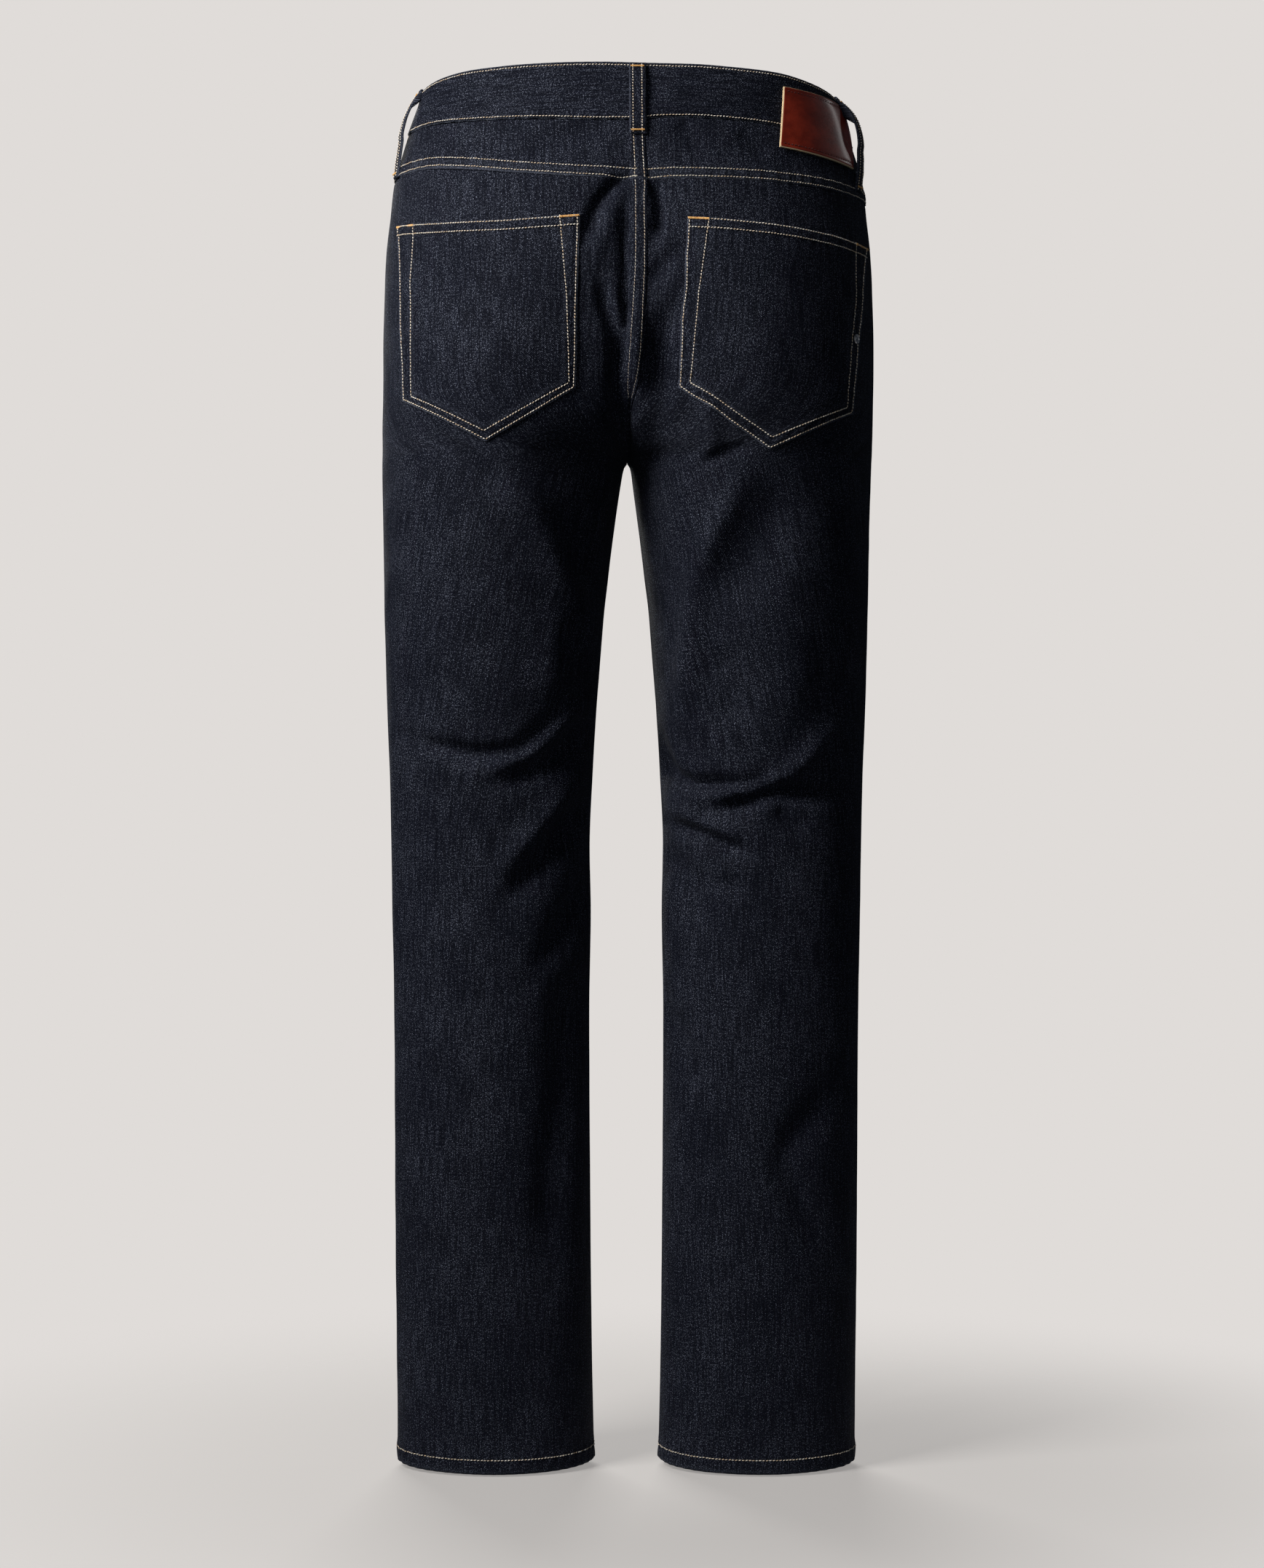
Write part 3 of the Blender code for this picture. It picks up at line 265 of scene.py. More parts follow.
TWILL = (4.95, 3.87, 0.0)  # a turn of the ribs for each mm across and along the grain
WARP = (0.0007, 0.0015, 0.0066)
WEFT = (0.206, 0.228, 0.298)
LEATHER_DARK = (0.22, 0.018, 0.006)
LEATHER_LIGHT = (0.43, 0.042, 0.016)
RAW_LEATHER = (1.0, 0.76, 0.46)
SHEEN_TINT = (0.62, 0.68, 0.85)


# ---------------------------------------------------------------- curves
def smooth_steps(value, low, high):
    """0 below low, 1 above high, and a smooth rise between them."""
    t = np.clip((value - low) / (high - low), 0.0, 1.0)
    return t * t * (3 - 2 * t)


def near(distance, reach):
    """1 where the distance is 0, dying away within about twice the reach."""
    return np.exp(-((distance / reach) ** 2))


def blend(a, b, share):
    """From a at a share of 0 to b at a share of 1."""
    return a * (1 - share) + b * share


def unit(vectors):
    return vectors / np.linalg.norm(vectors, axis=-1, keepdims=True)


def way_along(points):
    """How far along a line of points each of them lies."""
    return np.concatenate([[0], np.cumsum(np.linalg.norm(np.diff(points, axis=0), axis=1))])


def through(at, xs, ys):
    """A smooth curve through the points (xs, ys) that doesn't overshoot them."""
    step = np.diff(xs)
    rise = np.diff(ys) / step
    slope = np.zeros(len(xs))
    slope[0], slope[-1] = rise[0], rise[-1]
    same_way = rise[:-1] * rise[1:] > 0
    harmonic = 2 * rise[:-1] * rise[1:] / np.where(same_way, rise[:-1] + rise[1:], 1)
    slope[1:-1] = np.where(same_way, harmonic, 0.0)
    at = np.clip(at, xs[0], xs[-1])
    i = np.clip(np.searchsorted(xs, at) - 1, 0, len(xs) - 2)
    t = (at - xs[i]) / step[i]
    return (
        ys[i] * (1 + 2 * t) * (1 - t) ** 2
        + ys[i + 1] * t * t * (3 - 2 * t)
        + step[i] * slope[i] * t * (1 - t) ** 2
        + step[i] * slope[i + 1] * t * t * (t - 1)
    )


def from_table(table, name, places):
    """The named column of a table at any values of its first column."""
    rows = sorted(table)
    xs, ys = (np.array([getattr(row, key) for row in rows], float) for key in (rows[0]._fields[0], name))
    return through(places, xs, ys)


def look_up(grid, row, col):
    """Bilinear look-up of a grid at fractional rows and columns."""
    i, j = row.astype(int), col.astype(int)
    s, t = (row - i)[..., None], (col - j)[..., None]
    low, high = blend(grid[i, j], grid[i, j + 1], t), blend(grid[i + 1, j], grid[i + 1, j + 1], t)
    return blend(low, high, s)


def fold_path(points, count=48):
    """Points spread along a smooth curve through a fold's own points."""
    points = np.array(points, float)
    knots = way_along(points)
    at = np.linspace(0, knots[-1], count)
    return np.stack([through(at, knots, points[:, k]) for k in range(2)], axis=1)


def fold_relief(folds, x, height):
    """How far the folds push the surface out at each point."""
    relief = np.zeros_like(x)
    for depth, width, *path in folds:
        line = fold_path(path)
        reach = 3 * width
        low, high = line.min(0) - reach, line.max(0) + reach
        close = (x > low[0]) & (x < high[0]) & (height > low[1]) & (height < high[1])
        away = np.hypot(x[close][:, None] - line[:, 0], height[close][:, None] - line[:, 1])
        along = away.argmin(1) / (len(line) - 1)
        fade = smooth_steps(along, 0.0, 0.25) * smooth_steps(1 - along, 0.0, 0.25)
        relief[close] += FOLD_STRENGTH * depth * near(away.min(1), width) * (0.25 + 0.75 * fade)
    return relief


# ---------------------------------------------------------------- the shared surface
class Quarter:
    """One quarter of the jeans' outer surface, from the outseam to the centre seam or inseam.

    A place on it is (level, along): the height at the outseam, and the share of the row's length
    from the outseam, 0, to the centre, 1.
    """

    LEVEL_STEP = 2.0
    ALONG_STEPS = 150

    def __init__(self, side, face):
        self.side, self.face = side, face
        self.sign = SIDES[side]
        self.levels = np.arange(0.0, TOP_LEVEL + self.LEVEL_STEP, self.LEVEL_STEP)
        rows = self.trimmed(self.rows())
        rows[..., 0] *= self.sign
        self.row_lengths = self.lengths(rows)[:, -1]
        if face == REAR:
            rows[..., 0] += self.seam_stray(rows)
        rows[..., 0] -= HIP_SWAY * smooth_steps(rows[..., 2], SWAY_FROM, SWAY_TO)
        self.points = rows
        self.points = rows + self.normals() * self.folds()[..., None]
        near_hem = 1 - smooth_steps(self.levels[:, None], 0.0, HEM_RISE_TO)
        forward = np.clip(0.5 - self.points[..., 1] / (2 * SECTIONS[-1].rear), 0, 1)
        self.points[..., 2] += HEM_FRONT_RISE * forward * near_hem
        self.normal = self.normals()

    def rows(self):
        """Dense rows, from the outseam to the centre, before they are spaced evenly."""
        level = self.levels[:, None]
        back = self.face == REAR
        out = from_table(SECTIONS, "out", level)
        crest = from_table(SECTIONS, "rear" if back else "fore", level)
        crown = from_table(SECTIONS, "crown", level)
        seam_y = from_table(CENTRE_SEAM, "back_y" if back else "front_y", level)
        seam_height = from_table(CENTRE_SEAM, "back_height" if back else "front_height", level)
        on_leg = level < CROTCH_HEIGHT
        seam_y = np.where(on_leg, INSEAM_Y, seam_y)
        seam_height = np.where(on_leg, level, seam_height)
        inner = np.where(on_leg, from_table(INSEAMS, "gap", level), SEAM_GAP / 2)

        quarter_turn = np.linspace(0, np.pi / 2, 120)[None, :]
        power = 2 / from_table(SECTIONS, "square", level)
        outer_x = crown + (out - crown) * np.cos(quarter_turn).clip(0, 1) ** power
        outer_y = crest * np.sin(quarter_turn) ** power

        t = np.linspace(0, 1, 121)[None, 1:]
        dip = (1 - np.cos(np.pi * t)) / 2
        valley_x = blend(np.maximum(crown, inner), inner, t)
        valley_y = crest + (seam_y - crest) * dip
        tube_x = crown - (crown - inner) * np.sin(np.pi / 2 * t)
        tube_y = seam_y + (crest - seam_y) * np.cos(np.pi / 2 * t)
        tube = 1 - smooth_steps(level, TUBE_LEVEL, VALLEY_LEVEL)
        inner_x, inner_y = blend(valley_x, tube_x, tube), blend(valley_y, tube_y, tube)

        outer_height = level + 0 * quarter_turn
        inner_height = level + (seam_height - level) * dip
        parts = ((outer_x, inner_x), (outer_y, inner_y), (outer_height, inner_height))
        rows = np.stack([np.concatenate(pair, axis=1) for pair in parts], axis=2)
        rows[..., 0] = np.maximum(rows[..., 0], inner)
        return rows

    @staticmethod
    def lengths(rows):
        steps = np.linalg.norm(np.diff(rows, axis=1), axis=2)
        return np.concatenate([np.zeros((len(rows), 1)), np.cumsum(steps, axis=1)], axis=1)

    def trimmed(self, rows):
        """The rows spaced evenly, and cut back from the seams by half the gap."""
        lengths = self.lengths(rows)
        spaced = np.empty((len(rows), self.ALONG_STEPS + 1, 3))
        for i, (row, length) in enumerate(zip(rows, lengths)):
            at_inseam = self.levels[i] <= CROTCH_HEIGHT + 3
            end = length[-1] - (SEAM_GAP / 2 if at_inseam else 0.0)
            at = np.linspace(SEAM_GAP / 2, end, self.ALONG_STEPS + 1)
            for k in range(3):
                spaced[i, :, k] = np.interp(at, length, row[:, k])
        return spaced

    def seam_stray(self, rows):
        width = from_table(SECTIONS, "out", self.levels)[:, None]
        share = np.clip(np.abs(rows[..., 0]) / width, 0, 1)
        return from_table(BACK_SEAM_STRAY, "x", rows[..., 2]) * (1 - share**2) ** 2

    def normals(self):
        """Unit vectors that point out of the cloth."""
        along = np.gradient(self.points, axis=1)
        up = np.gradient(self.points, axis=0)
        cross = np.cross(along, up) * self.sign * (1 if self.face == REAR else -1)
        return unit(cross)

    def folds(self):
        """Fold relief, which dies away towards the outseam and, on the legs, the inseam."""
        folds = BACK_FOLDS if self.face == REAR else FRONT_FOLDS
        relief = fold_relief(folds, self.points[..., 0], self.points[..., 2])
        along = np.linspace(0, 1, self.ALONG_STEPS + 1)[None, :]
        at_side = smooth_steps(along, 0.0, 0.07)
        fade = np.interp(self.levels, (800.0, 850.0), (0.09, 0.035))[:, None]
        near_centre = smooth_steps((1 - along) / fade, 0.0, 1.0)
        above_crotch = smooth_steps(self.levels[:, None], 850, 880)
        return relief * at_side * (above_crotch + (1 - above_crotch) * near_centre)

    def row_of(self, level):
        return np.clip(np.asarray(level, float) / self.LEVEL_STEP, 0, len(self.levels) - 1.001)

    def at(self, level, along, lift=0.0):
        """Points of the surface, moved out by lift."""
        level, along = np.broadcast_arrays(level, along)
        row, last = self.row_of(level), self.ALONG_STEPS - 1e-6
        col = np.minimum(np.clip(np.asarray(along, float), 0, 1) * self.ALONG_STEPS, last)
        normal = unit(look_up(self.normal, row, col))
        return look_up(self.points, row, col) + normal * np.asarray(lift, float)[..., None]

    def line(self, body_line, along):
        """The height of a line round the body at each place along the rows."""
        name = self.side if self.face == REAR else "front"
        return from_table(body_line, name, np.asarray(along, float))

    def length(self, level):
        """The length of the row at each level."""
        return np.interp(level, self.levels, self.row_lengths)

    def find(self, x, height):
        """The (level, along) of the places seen at (x, height)."""
        seen = self.points[..., 0] * self.sign
        steps = np.linspace(0, 1, self.ALONG_STEPS + 1)
        at = np.linspace(-15.0, 210.0, 451)
        table = np.stack([np.interp(at, row[::-1], steps[::-1]) for row in seen])[..., None]
        x, height = np.broadcast_arrays(np.asarray(x, float), np.asarray(height, float))
        col = (x * self.sign - at[0]) / (at[-1] - at[0]) * (len(at) - 1)
        level = height.copy()
        for _ in range(4):
            along = np.clip(look_up(table, self.row_of(level), col)[..., 0], 0, 1)
            level = level + height - self.at(level, along)[..., 2]
        return level, along


# ---------------------------------------------------------------- how the cloth is sewn
OTHER_SIDE = {"left": "right", "right": "left"}
LAP = 1.5  # how far a lapped layer stands above the layer under it
YOKE_LAP = 1.1
LAP_WIDTH = 5.0  # how far the left side laps over the right at centre back
TUCK = 4.7  # how far the back panel runs up under the yoke
LAP_FROM, LAP_TO = 814.0, 828.0  # the centre back lap dies away between these levels
STITCH_PITCH = 2.5
STITCH_FILL = 0.80  # the share of the pitch where thread shows
THREAD_RADIUS = 0.53
SEAM_THREAD = 0.43  # the rows along the seams are sewn with a finer thread
SUNK_THREAD = (0.36, 0.14)  # down the centre back seam the thread sinks into the cloth
SUNK_TO = 858.0  # and is gone at this level
BESIDE_EDGE = 1.7  # from a sewn edge to the row of stitches beside it
TWIN_ROWS = 6.4  # between two rows of stitches
TWIN = (BESIDE_EDGE, BESIDE_EDGE + TWIN_ROWS)  # both rows, from the edge
CENTRE_ROWS = (3.3, -3.3)  # the rows each side of the centre back seam
BAND_TOP_ROW = 2.6  # below the band's top edge
BAND_LOW_ROW = 1.5  # above the band's bottom edge
BAND_TUCK = 3.0  # how far the panels run up behind the waistband
BAND_TUCK_DEPTH = 3.2
HEM_ROW = 11.6
POCKET_TOP_ROWS = (1.1, 8.0)
YOKE_LEVEL = 1028.0  # rows near the yoke's lower edge are measured at this level
YOKE_MIDDLE, YOKE_TOP = 1045.0, 1072.0  # rows across the yoke, and near its top
FLY_LEVEL, FACING_LEVEL = 1046.0, 1020.0  # and rows across the fly, and across the pocket facings
FAR = 1e3  # as good as nowhere near
EDGE_WEAR = 2.5  # the hem is worn this far up from its fold

QUARTERS = {(side, face): Quarter(side, face) for side in SIDES for face in (REAR, FORE)}


def crumple(s, level, seed):
    """Faint unevenness of worn cloth, in about half a millimetre."""
    rng = np.random.default_rng(seed)
    total = 0.0
    for _ in range(9):
        wavelength, turn, phase = rng.uniform(15, 75), rng.uniform(0, np.pi), rng.uniform(0, 6.28)
        across = s * np.cos(turn) + level * np.sin(turn)
        total = total + np.sin(2 * np.pi / wavelength * across + phase) * wavelength / 75
    return total / 3


def pucker(s, distance, tall, pitch=11.0, reach=5.0):
    """Small waves across a row of stitches, where the thread gathers the cloth."""
    phase = 1.3 * np.sin(s / 23) + 1.1 * np.sin(s / 41 + 2) + 0.7 * np.sin(s / 7.3)
    return tall * np.sin(2 * np.pi * s / pitch + phase) * near(distance, reach)


def ladder(s, distance, tall=0.30, reach=3.6):
    """Short ridges between twin rows of stitches."""
    phase = 0.9 * np.sin(s / 9) + 1.4 * np.sin(s / 31 + 1)
    uneven = 0.7 + 0.5 * np.sin(s / 17 + 0.6) * np.sin(s / 6.1)
    return tall * uneven * np.sin(2 * np.pi * s / 5.6 + phase) * near(distance, reach)


def groove(*distances):
    return sum(-0.32 * near(distance, 0.9) for distance in distances)


def rounding(distance, thick):
    """How far the face of a folded edge turns in towards the middle of the cloth."""
    return 0.45 * thick * near(distance, 0.75)


def distance_to(line, s, level):
    """The shortest way from each point to a line of points, in the plane of the cloth."""
    line = np.asarray(line, float)
    best = np.full(np.shape(s), 1e9)
    for a, b in zip(line[:-1], line[1:]):
        step = b - a
        share = ((s - a[0]) * step[0] + (level - a[1]) * step[1]) / max(step @ step, 1e-9)
        share = np.clip(share, 0, 1)
        gap = np.hypot(s - a[0] - share * step[0], level - a[1] - share * step[1])
        best = np.minimum(best, gap)
    return best


def yoke_edge(side, from_centre):
    """The level of the yoke's lower edge at a distance from the centre back seam."""
    quarter = QUARTERS[side, REAR]
    along = 1 - np.abs(from_centre) / quarter.length(YOKE_LEVEL)
    return quarter.line(YOKE_BOTTOM, np.clip(along, 0, 1))


def lap(side, level, from_centre):
    """The left side rises over the right at centre back."""
    if side == "right":
        return 0 * from_centre * level
    rise = 1 - smooth_steps(from_centre, 3.8, 8.5)
    return LAP * rise * smooth_steps(level, LAP_FROM, LAP_TO)


def lap_edge(side, from_centre, width=LAP_WIDTH):
    """The folded edge of the lap and its two rows of stitches, which are on the left side alone."""
    own = from_centre + (0.0 if side == "left" else FAR)
    return groove(own - CENTRE_ROWS[0], own - CENTRE_ROWS[1]) - rounding(own + width, DENIM)


def body_relief(side, face, level, from_centre):
    """What all the cloth of a quarter shares: unevenness, and waves beside the seams."""
    from_side = QUARTERS[side, face].length(level) - from_centre
    seed = 11 + 2 * (side == "left") + (face == REAR)
    calm = smooth_steps(np.abs(from_centre), 0, 14) * smooth_steps(from_side, 0, 14)
    relief = 0.55 * crumple(from_centre, level, seed) * calm
    if face == REAR:
        above = level - yoke_edge(side, from_centre)
        relief = relief + pucker(from_centre, above - 4.5, 0.28, pitch=13.0, reach=9.0) * calm
        on_seat = smooth_steps(level, LAP_FROM, LAP_TO)
        relief = relief + pucker(level, from_centre, 0.25, pitch=12.0, reach=7.0) * on_seat
    return relief


def under_band(quarter, level, from_centre):
    """The tops of the panels sink, to run up behind the waistband."""
    along = 1 - np.abs(from_centre) / quarter.length(level)
    above = level - quarter.line(BAND_BOTTOM, np.clip(along, 0, 1))
    return -BAND_TUCK_DEPTH * smooth_steps(above, -1.3, 0.6)


def seam_relief(from_seam):
    """The allowances make a soft ridge beside a seam, which itself sinks in."""
    return 0.45 * near(from_seam - 4.0, 3.5) - 0.5 * near(from_seam, 1.2)


def leg_relief(side, face, level, from_centre):
    """What a leg panel adds: its side seam, inseam and hem."""
    from_side = QUARTERS[side, face].length(level) - from_centre
    on_leg = 1 - smooth_steps(level, 800, 826)
    relief = seam_relief(from_side) + on_leg * seam_relief(from_centre)
    in_hem = 1 - smooth_steps(level, 10.0, 20.0)
    ripple = np.sin(2 * np.pi * (from_centre / 8.5 + level / 26.0) + 1.4 * np.sin(from_centre / 19))
    ripple = ripple * (0.75 + 0.35 * np.sin(from_centre / 27 + 1.0))
    relief = relief + in_hem * (0.45 + 0.42 * ripple) + groove(level - HEM_ROW)
    return relief - rounding(level, 2 * DENIM)


def plain_back(side, level, from_centre):
    """The back panel without its sewing, as its inside shows it. It sinks under the yoke."""
    above = level - yoke_edge(side, from_centre)
    relief = body_relief(side, REAR, level, np.abs(from_centre)) + lap(side, level, from_centre)
    return relief - 0.5 * smooth_steps(above, -0.3, 0.8)


def back_relief(side, level, from_centre):
    on_seat = smooth_steps(level, LAP_FROM, LAP_TO)
    return (
        plain_back(side, level, from_centre)
        + leg_relief(side, REAR, level, from_centre)
        + on_seat * lap_edge(side, from_centre, LAP_WIDTH * on_seat)
    )


def plain_yoke(side, level, from_centre, above):
    """The yoke without its sewing. Its lower edge lies over the back panel, but not at the outseam."""
    from_side = QUARTERS[side, REAR].length(level) - np.abs(from_centre)
    over = (1 - smooth_steps(above, 8.5, 14.0)) * smooth_steps(from_side, 0.5, 12.0)
    return (
        body_relief(side, REAR, level, np.abs(from_centre))
        + lap(side, level, from_centre)
        + seam_relief(from_side)
        + YOKE_LAP * over
        + under_band(QUARTERS[side, REAR], level, from_centre)
    )


def yoke_relief(side, level, from_centre):
    above = level - yoke_edge(side, from_centre)
    return (
        plain_yoke(side, level, from_centre, above)
        + groove(*(above - row for row in TWIN))
        + ladder(from_centre, above - BESIDE_EDGE - TWIN_ROWS / 2)
        - 1.5 * rounding(above, DENIM)
        + lap_edge(side, from_centre)
    )


def across_back(side, level, from_centre, lift):
    """Points of the back surface at a distance from the centre seam, past it where negative."""
    level, from_centre, lift = np.broadcast_arrays(level, from_centre, lift)
    points = np.empty(level.shape + (3,))
    for name, chosen in ((side, from_centre >= 0), (OTHER_SIDE[side], from_centre < 0)):
        quarter = QUARTERS[name, REAR]
        along = 1 - np.abs(from_centre[chosen]) / quarter.length(level[chosen])
        points[chosen] = quarter.at(level[chosen], along, lift[chosen])
    return points


def on_face(place, relief):
    """Points on a face, and the ways out of it. place gives points for a lift."""
    points = place(relief)
    return points, place(relief + 1.0) - points


# ---------------------------------------------------------------- meshes
def mesh_object(name, vertices, faces, materials, slots=None, grain=None, wear=None):
    """An object from millimetre points and faces of one size, all as arrays."""
    vertices = (np.asarray(vertices, float) - (0.0, 0.0, ORIGIN_HEIGHT)) * MM
    faces = np.asarray(faces, np.int32)
    count, corners = faces.shape
    mesh = bpy.data.meshes.new(name)
    mesh.vertices.add(len(vertices))
    mesh.vertices.foreach_set("co", vertices.astype(np.float32).ravel())
    mesh.loops.add(count * corners)
    mesh.loops.foreach_set("vertex_index", faces.ravel())
    mesh.polygons.add(count)
    mesh.polygons.foreach_set("loop_start", np.arange(0, count * corners, corners, dtype=np.int32))
    if slots is not None:
        mesh.polygons.foreach_set("material_index", np.asarray(slots, np.int32))
    mesh.update(calc_edges=True)
    for material in materials:
        mesh.materials.append(material)
    if grain is not None:
        layer = mesh.uv_layers.new(name="grain")
        layer.data.foreach_set("uv", (grain[faces.ravel()] * MM).astype(np.float32).ravel())
    if wear is not None:
        worn = mesh.attributes.new("wear", "FLOAT", "POINT")
        worn.data.foreach_set("value", wear.astype(np.float32).ravel())
    mesh.shade_smooth()
    made = bpy.data.objects.new(name, mesh)
    bpy.context.scene.collection.objects.link(made)
    return made


def grid_faces(rows, cols):
    first = (np.arange(rows - 1)[:, None] * cols + np.arange(cols - 1)[None, :]).ravel()
    return np.stack([first, first + 1, first + cols + 1, first + cols], axis=1)


def shell(name, outer, inner, grain, materials, wear=0.0):
    """A closed wall between two grids of points, with its rim.

    materials are those of the outer face, the inner face and the rim.
    """
    rows, cols = outer.shape[:2]
    count = rows * cols
    face = grid_faces(rows, cols)
    index = np.arange(count).reshape(rows, cols)
    ring = np.concatenate([index[0, :-1], index[:-1, -1], index[-1, :0:-1], index[:0:-1, 0]])
    after = np.roll(ring, -1)
    rim = np.stack([after, ring, ring + count, after + count], axis=1)
    faces = np.concatenate([face, face[:, ::-1] + count, rim])
    i, j = rows // 2, cols // 2
    across, up = outer[i, j + 1] - outer[i, j], outer[i + 1, j] - outer[i, j]
    if np.cross(across, up) @ (outer[i, j] - inner[i, j]) < 0:
        faces = faces[:, ::-1]
    slots = np.repeat([0, 1, 2], [len(face), len(face), len(rim)])
    grain = np.broadcast_to(grain, outer.shape[:2] + (2,)).reshape(-1, 2)
    wear = np.broadcast_to(wear, outer.shape[:2]).ravel()
    made = mesh_object(
        name,
        np.concatenate([outer.reshape(-1, 3), inner.reshape(-1, 3)]),
        faces, materials, slots, np.concatenate([grain, grain]), np.concatenate([wear, 0 * wear]),
    )
    made.data.set_sharp_from_angle(angle=CLOTH_CREASE)
    return made


def both(values, other):
    """Two grids as the last axis of one."""
    return np.stack(np.broadcast_arrays(values, other), axis=-1).astype(float)


# ---------------------------------------------------------------- thread
class Thread:
    """Many stitches of one colour, made into one mesh of small capsules."""

    # Rings of a capsule: place along it, width, and how far the ring sinks, of its radius.
    RINGS = (
        (-0.5, 0.30, -0.55), (-0.36, 0.86, -0.05), (0.0, 1.0, 0.12), (0.36, 0.86, -0.05), (0.5, 0.30, -0.55),
    )
    SIDES = 5

    def __init__(self, name):
        self.name, self.rows = name, []

    def run(self, points, normals, pitch=STITCH_PITCH, fill=STITCH_FILL, radius=THREAD_RADIUS, seed=1):
        """A row of stitches along a line of points. A pair of radii tapers from one to the other."""
        length = way_along(points)
        count = int(length[-1] / pitch)
        if count < 1:
            return
        rng = np.random.default_rng(seed)
        at = (np.arange(count) + 0.5) * length[-1] / count + rng.uniform(-0.12, 0.12, count)
        half = pitch * fill / 2
        radii = np.linspace(*radius, count) if isinstance(radius, tuple) else np.full(count, radius)

        def pick(values, place):
            return np.stack([np.interp(place, length, values[:, k]) for k in range(3)], axis=1)

        normal = unit(pick(normals, at))
        tangent = pick(points, at + half) - pick(points, at - half)
        tangent /= np.maximum(np.linalg.norm(tangent, axis=1, keepdims=True), 1e-6)
        side = np.cross(normal, tangent)
        tangent = unit(tangent + side * rng.uniform(0.12, 0.30, (count, 1)))
        centre = pick(points, at) + normal * 0.45 * radii[:, None]
        centre += side * rng.normal(0, 0.05, (count, 1))
        for k in range(count):
            long, thick = 2 * half * rng.uniform(0.90, 1.06), radii[k] * rng.uniform(0.82, 1.06)
            self.rows.append((centre[k], tangent[k], normal[k], long, thick))

    def bar(self, start, end, normal, width=2.0, radius=0.36):
        """A bartack: threads packed side by side across a short bar."""
        normal = unit(normal)
        length = np.linalg.norm(end - start)
        along = (end - start) / length
        across = np.cross(normal, along)
        count = int(length / (radius * 1.15))
        rng = np.random.default_rng(count)
        for k in range(count):
            centre = start + along * (k + 0.5) * length / count + normal * (0.95 + 0.08 * rng.uniform(-1, 1))
            slant = unit(along * 0.55 * (1 if k % 2 else -1) + across)
            self.rows.append((centre, slant, normal, width * rng.uniform(0.9, 1.1), radius))

    def make(self, material):
        centre, tangent, normal, length, radius = (np.array(column) for column in zip(*self.rows))
        length, radius = length[:, None], radius[:, None]
        normal = unit(normal - (normal * tangent).sum(1, keepdims=True) * tangent)
        side = np.cross(tangent, normal)
        turn = np.linspace(0, 2 * np.pi, self.SIDES, endpoint=False) + 0.3
        rings = []
        for along, wide, drop in self.RINGS:
            middle = centre + tangent * length * along + normal * radius * drop
            for angle in turn:
                rings.append(middle + (side * np.cos(angle) + normal * np.sin(angle)) * radius * wide)
        corner = np.arange(len(rings)).reshape(-1, self.SIDES)
        onward = np.roll(corner, -1, axis=1)
        foot = np.array([(0, k, k + 1) for k in range(1, self.SIDES - 1)])
        local = (
            np.stack([corner[1:], onward[1:], onward[:-1]], axis=-1),
            np.stack([corner[1:], onward[:-1], corner[:-1]], axis=-1),
            np.concatenate([foot, foot[:, ::-1] + corner[-1, 0]]),
        )
        first = np.arange(len(centre))[:, None, None] * len(rings)
        faces = np.concatenate([(part.reshape(1, -1, 3) + first).reshape(-1, 3) for part in local])
        return mesh_object(self.name, np.stack(rings, axis=1).reshape(-1, 3), faces, [material])


# ---------------------------------------------------------------- laying out the panels
CENTRE_COLUMNS = {
    "left": (
        -5.0, -4.5, -3.9, -3.3, -2.6, -1.6, -0.8, 0.0, 0.8, 1.7, 2.6, 3.3, 4.0, 5.0, 6.1, 7.3, 8.6, 10.0,
    ),
    "right": (0.0, 0.8, 1.8, 3.0, 4.4, 6.0, 7.8, 10.0),
}
SIDE_COLUMNS = (10.0, 8.0, 6.4, 5.0, 3.8, 2.7, 1.8, 1.1, 0.5, 0.0)
SHAPED_TO = 905.0  # the rows below this are level
ABOVE_HEM = 30.0  # and evenly spaced down to this
# Every piece is cut from its own part of the cloth, which starts this far across it.
CUT_FROM = {
    "left": 31.0, "right": 540.0, "back": 0.0, "front": 300.0, "facing": 77.0, "yoke": 90.0, "pocket": 400.0,
    "fly": 700.0, "loop": 900.0,
}
HEM_LEVELS = (
    27.0, 24.0, 21.0, 18.5, 16.5, 15.0, 13.8, 12.9, 12.2, 11.6, 11.0, 10.3, 9.2, 7.8, 6.4, 5.0, 3.6, 2.4, 1.4,
    0.7, 0.3, 0.0,
)


def lay_out(quarter, level_of, centre, side, steps, start_level):
    """Levels and distances from the centre of a grid whose columns keep away from both seams."""
    centre, side = np.asarray(centre, float), np.asarray(side, float)
    inner, outer = centre[-1], side[0]
    share = np.linspace(0, 1, steps + 1)[1:-1]
    length = quarter.length(start_level)
    row = np.concatenate([centre, inner + share * (length - inner - outer), length - side])
    from_centre = row[None, :]
    a, b = len(centre), len(centre) + len(share)
    for _ in range(3):
        level = level_of(from_centre)
        length = quarter.length(level)
        past = -centre[0] * smooth_steps(level[:, :a], LAP_FROM, LAP_TO)
        near_centre = inner - (inner - centre) * (inner + past) / (inner - centre[0])
        middle = inner + share * (length[:, a:b] - inner - outer)
        from_centre = np.concatenate([near_centre, middle, length[:, b:] - side], axis=1)
    return level, from_centre


def leg_levels(top, shaped_rows, spacing):
    """Levels down a leg from its shaped top row, with close rows at the hem."""
    shares = np.linspace(0, 1, shaped_rows)[1:, None]
    shaped = blend(top, SHAPED_TO, shares)
    plain = np.arange(SHAPED_TO - spacing, ABOVE_HEM, -spacing)
    lower = np.concatenate([plain, HEM_LEVELS])[:, None] + 0 * top
    return np.concatenate([shaped, lower])


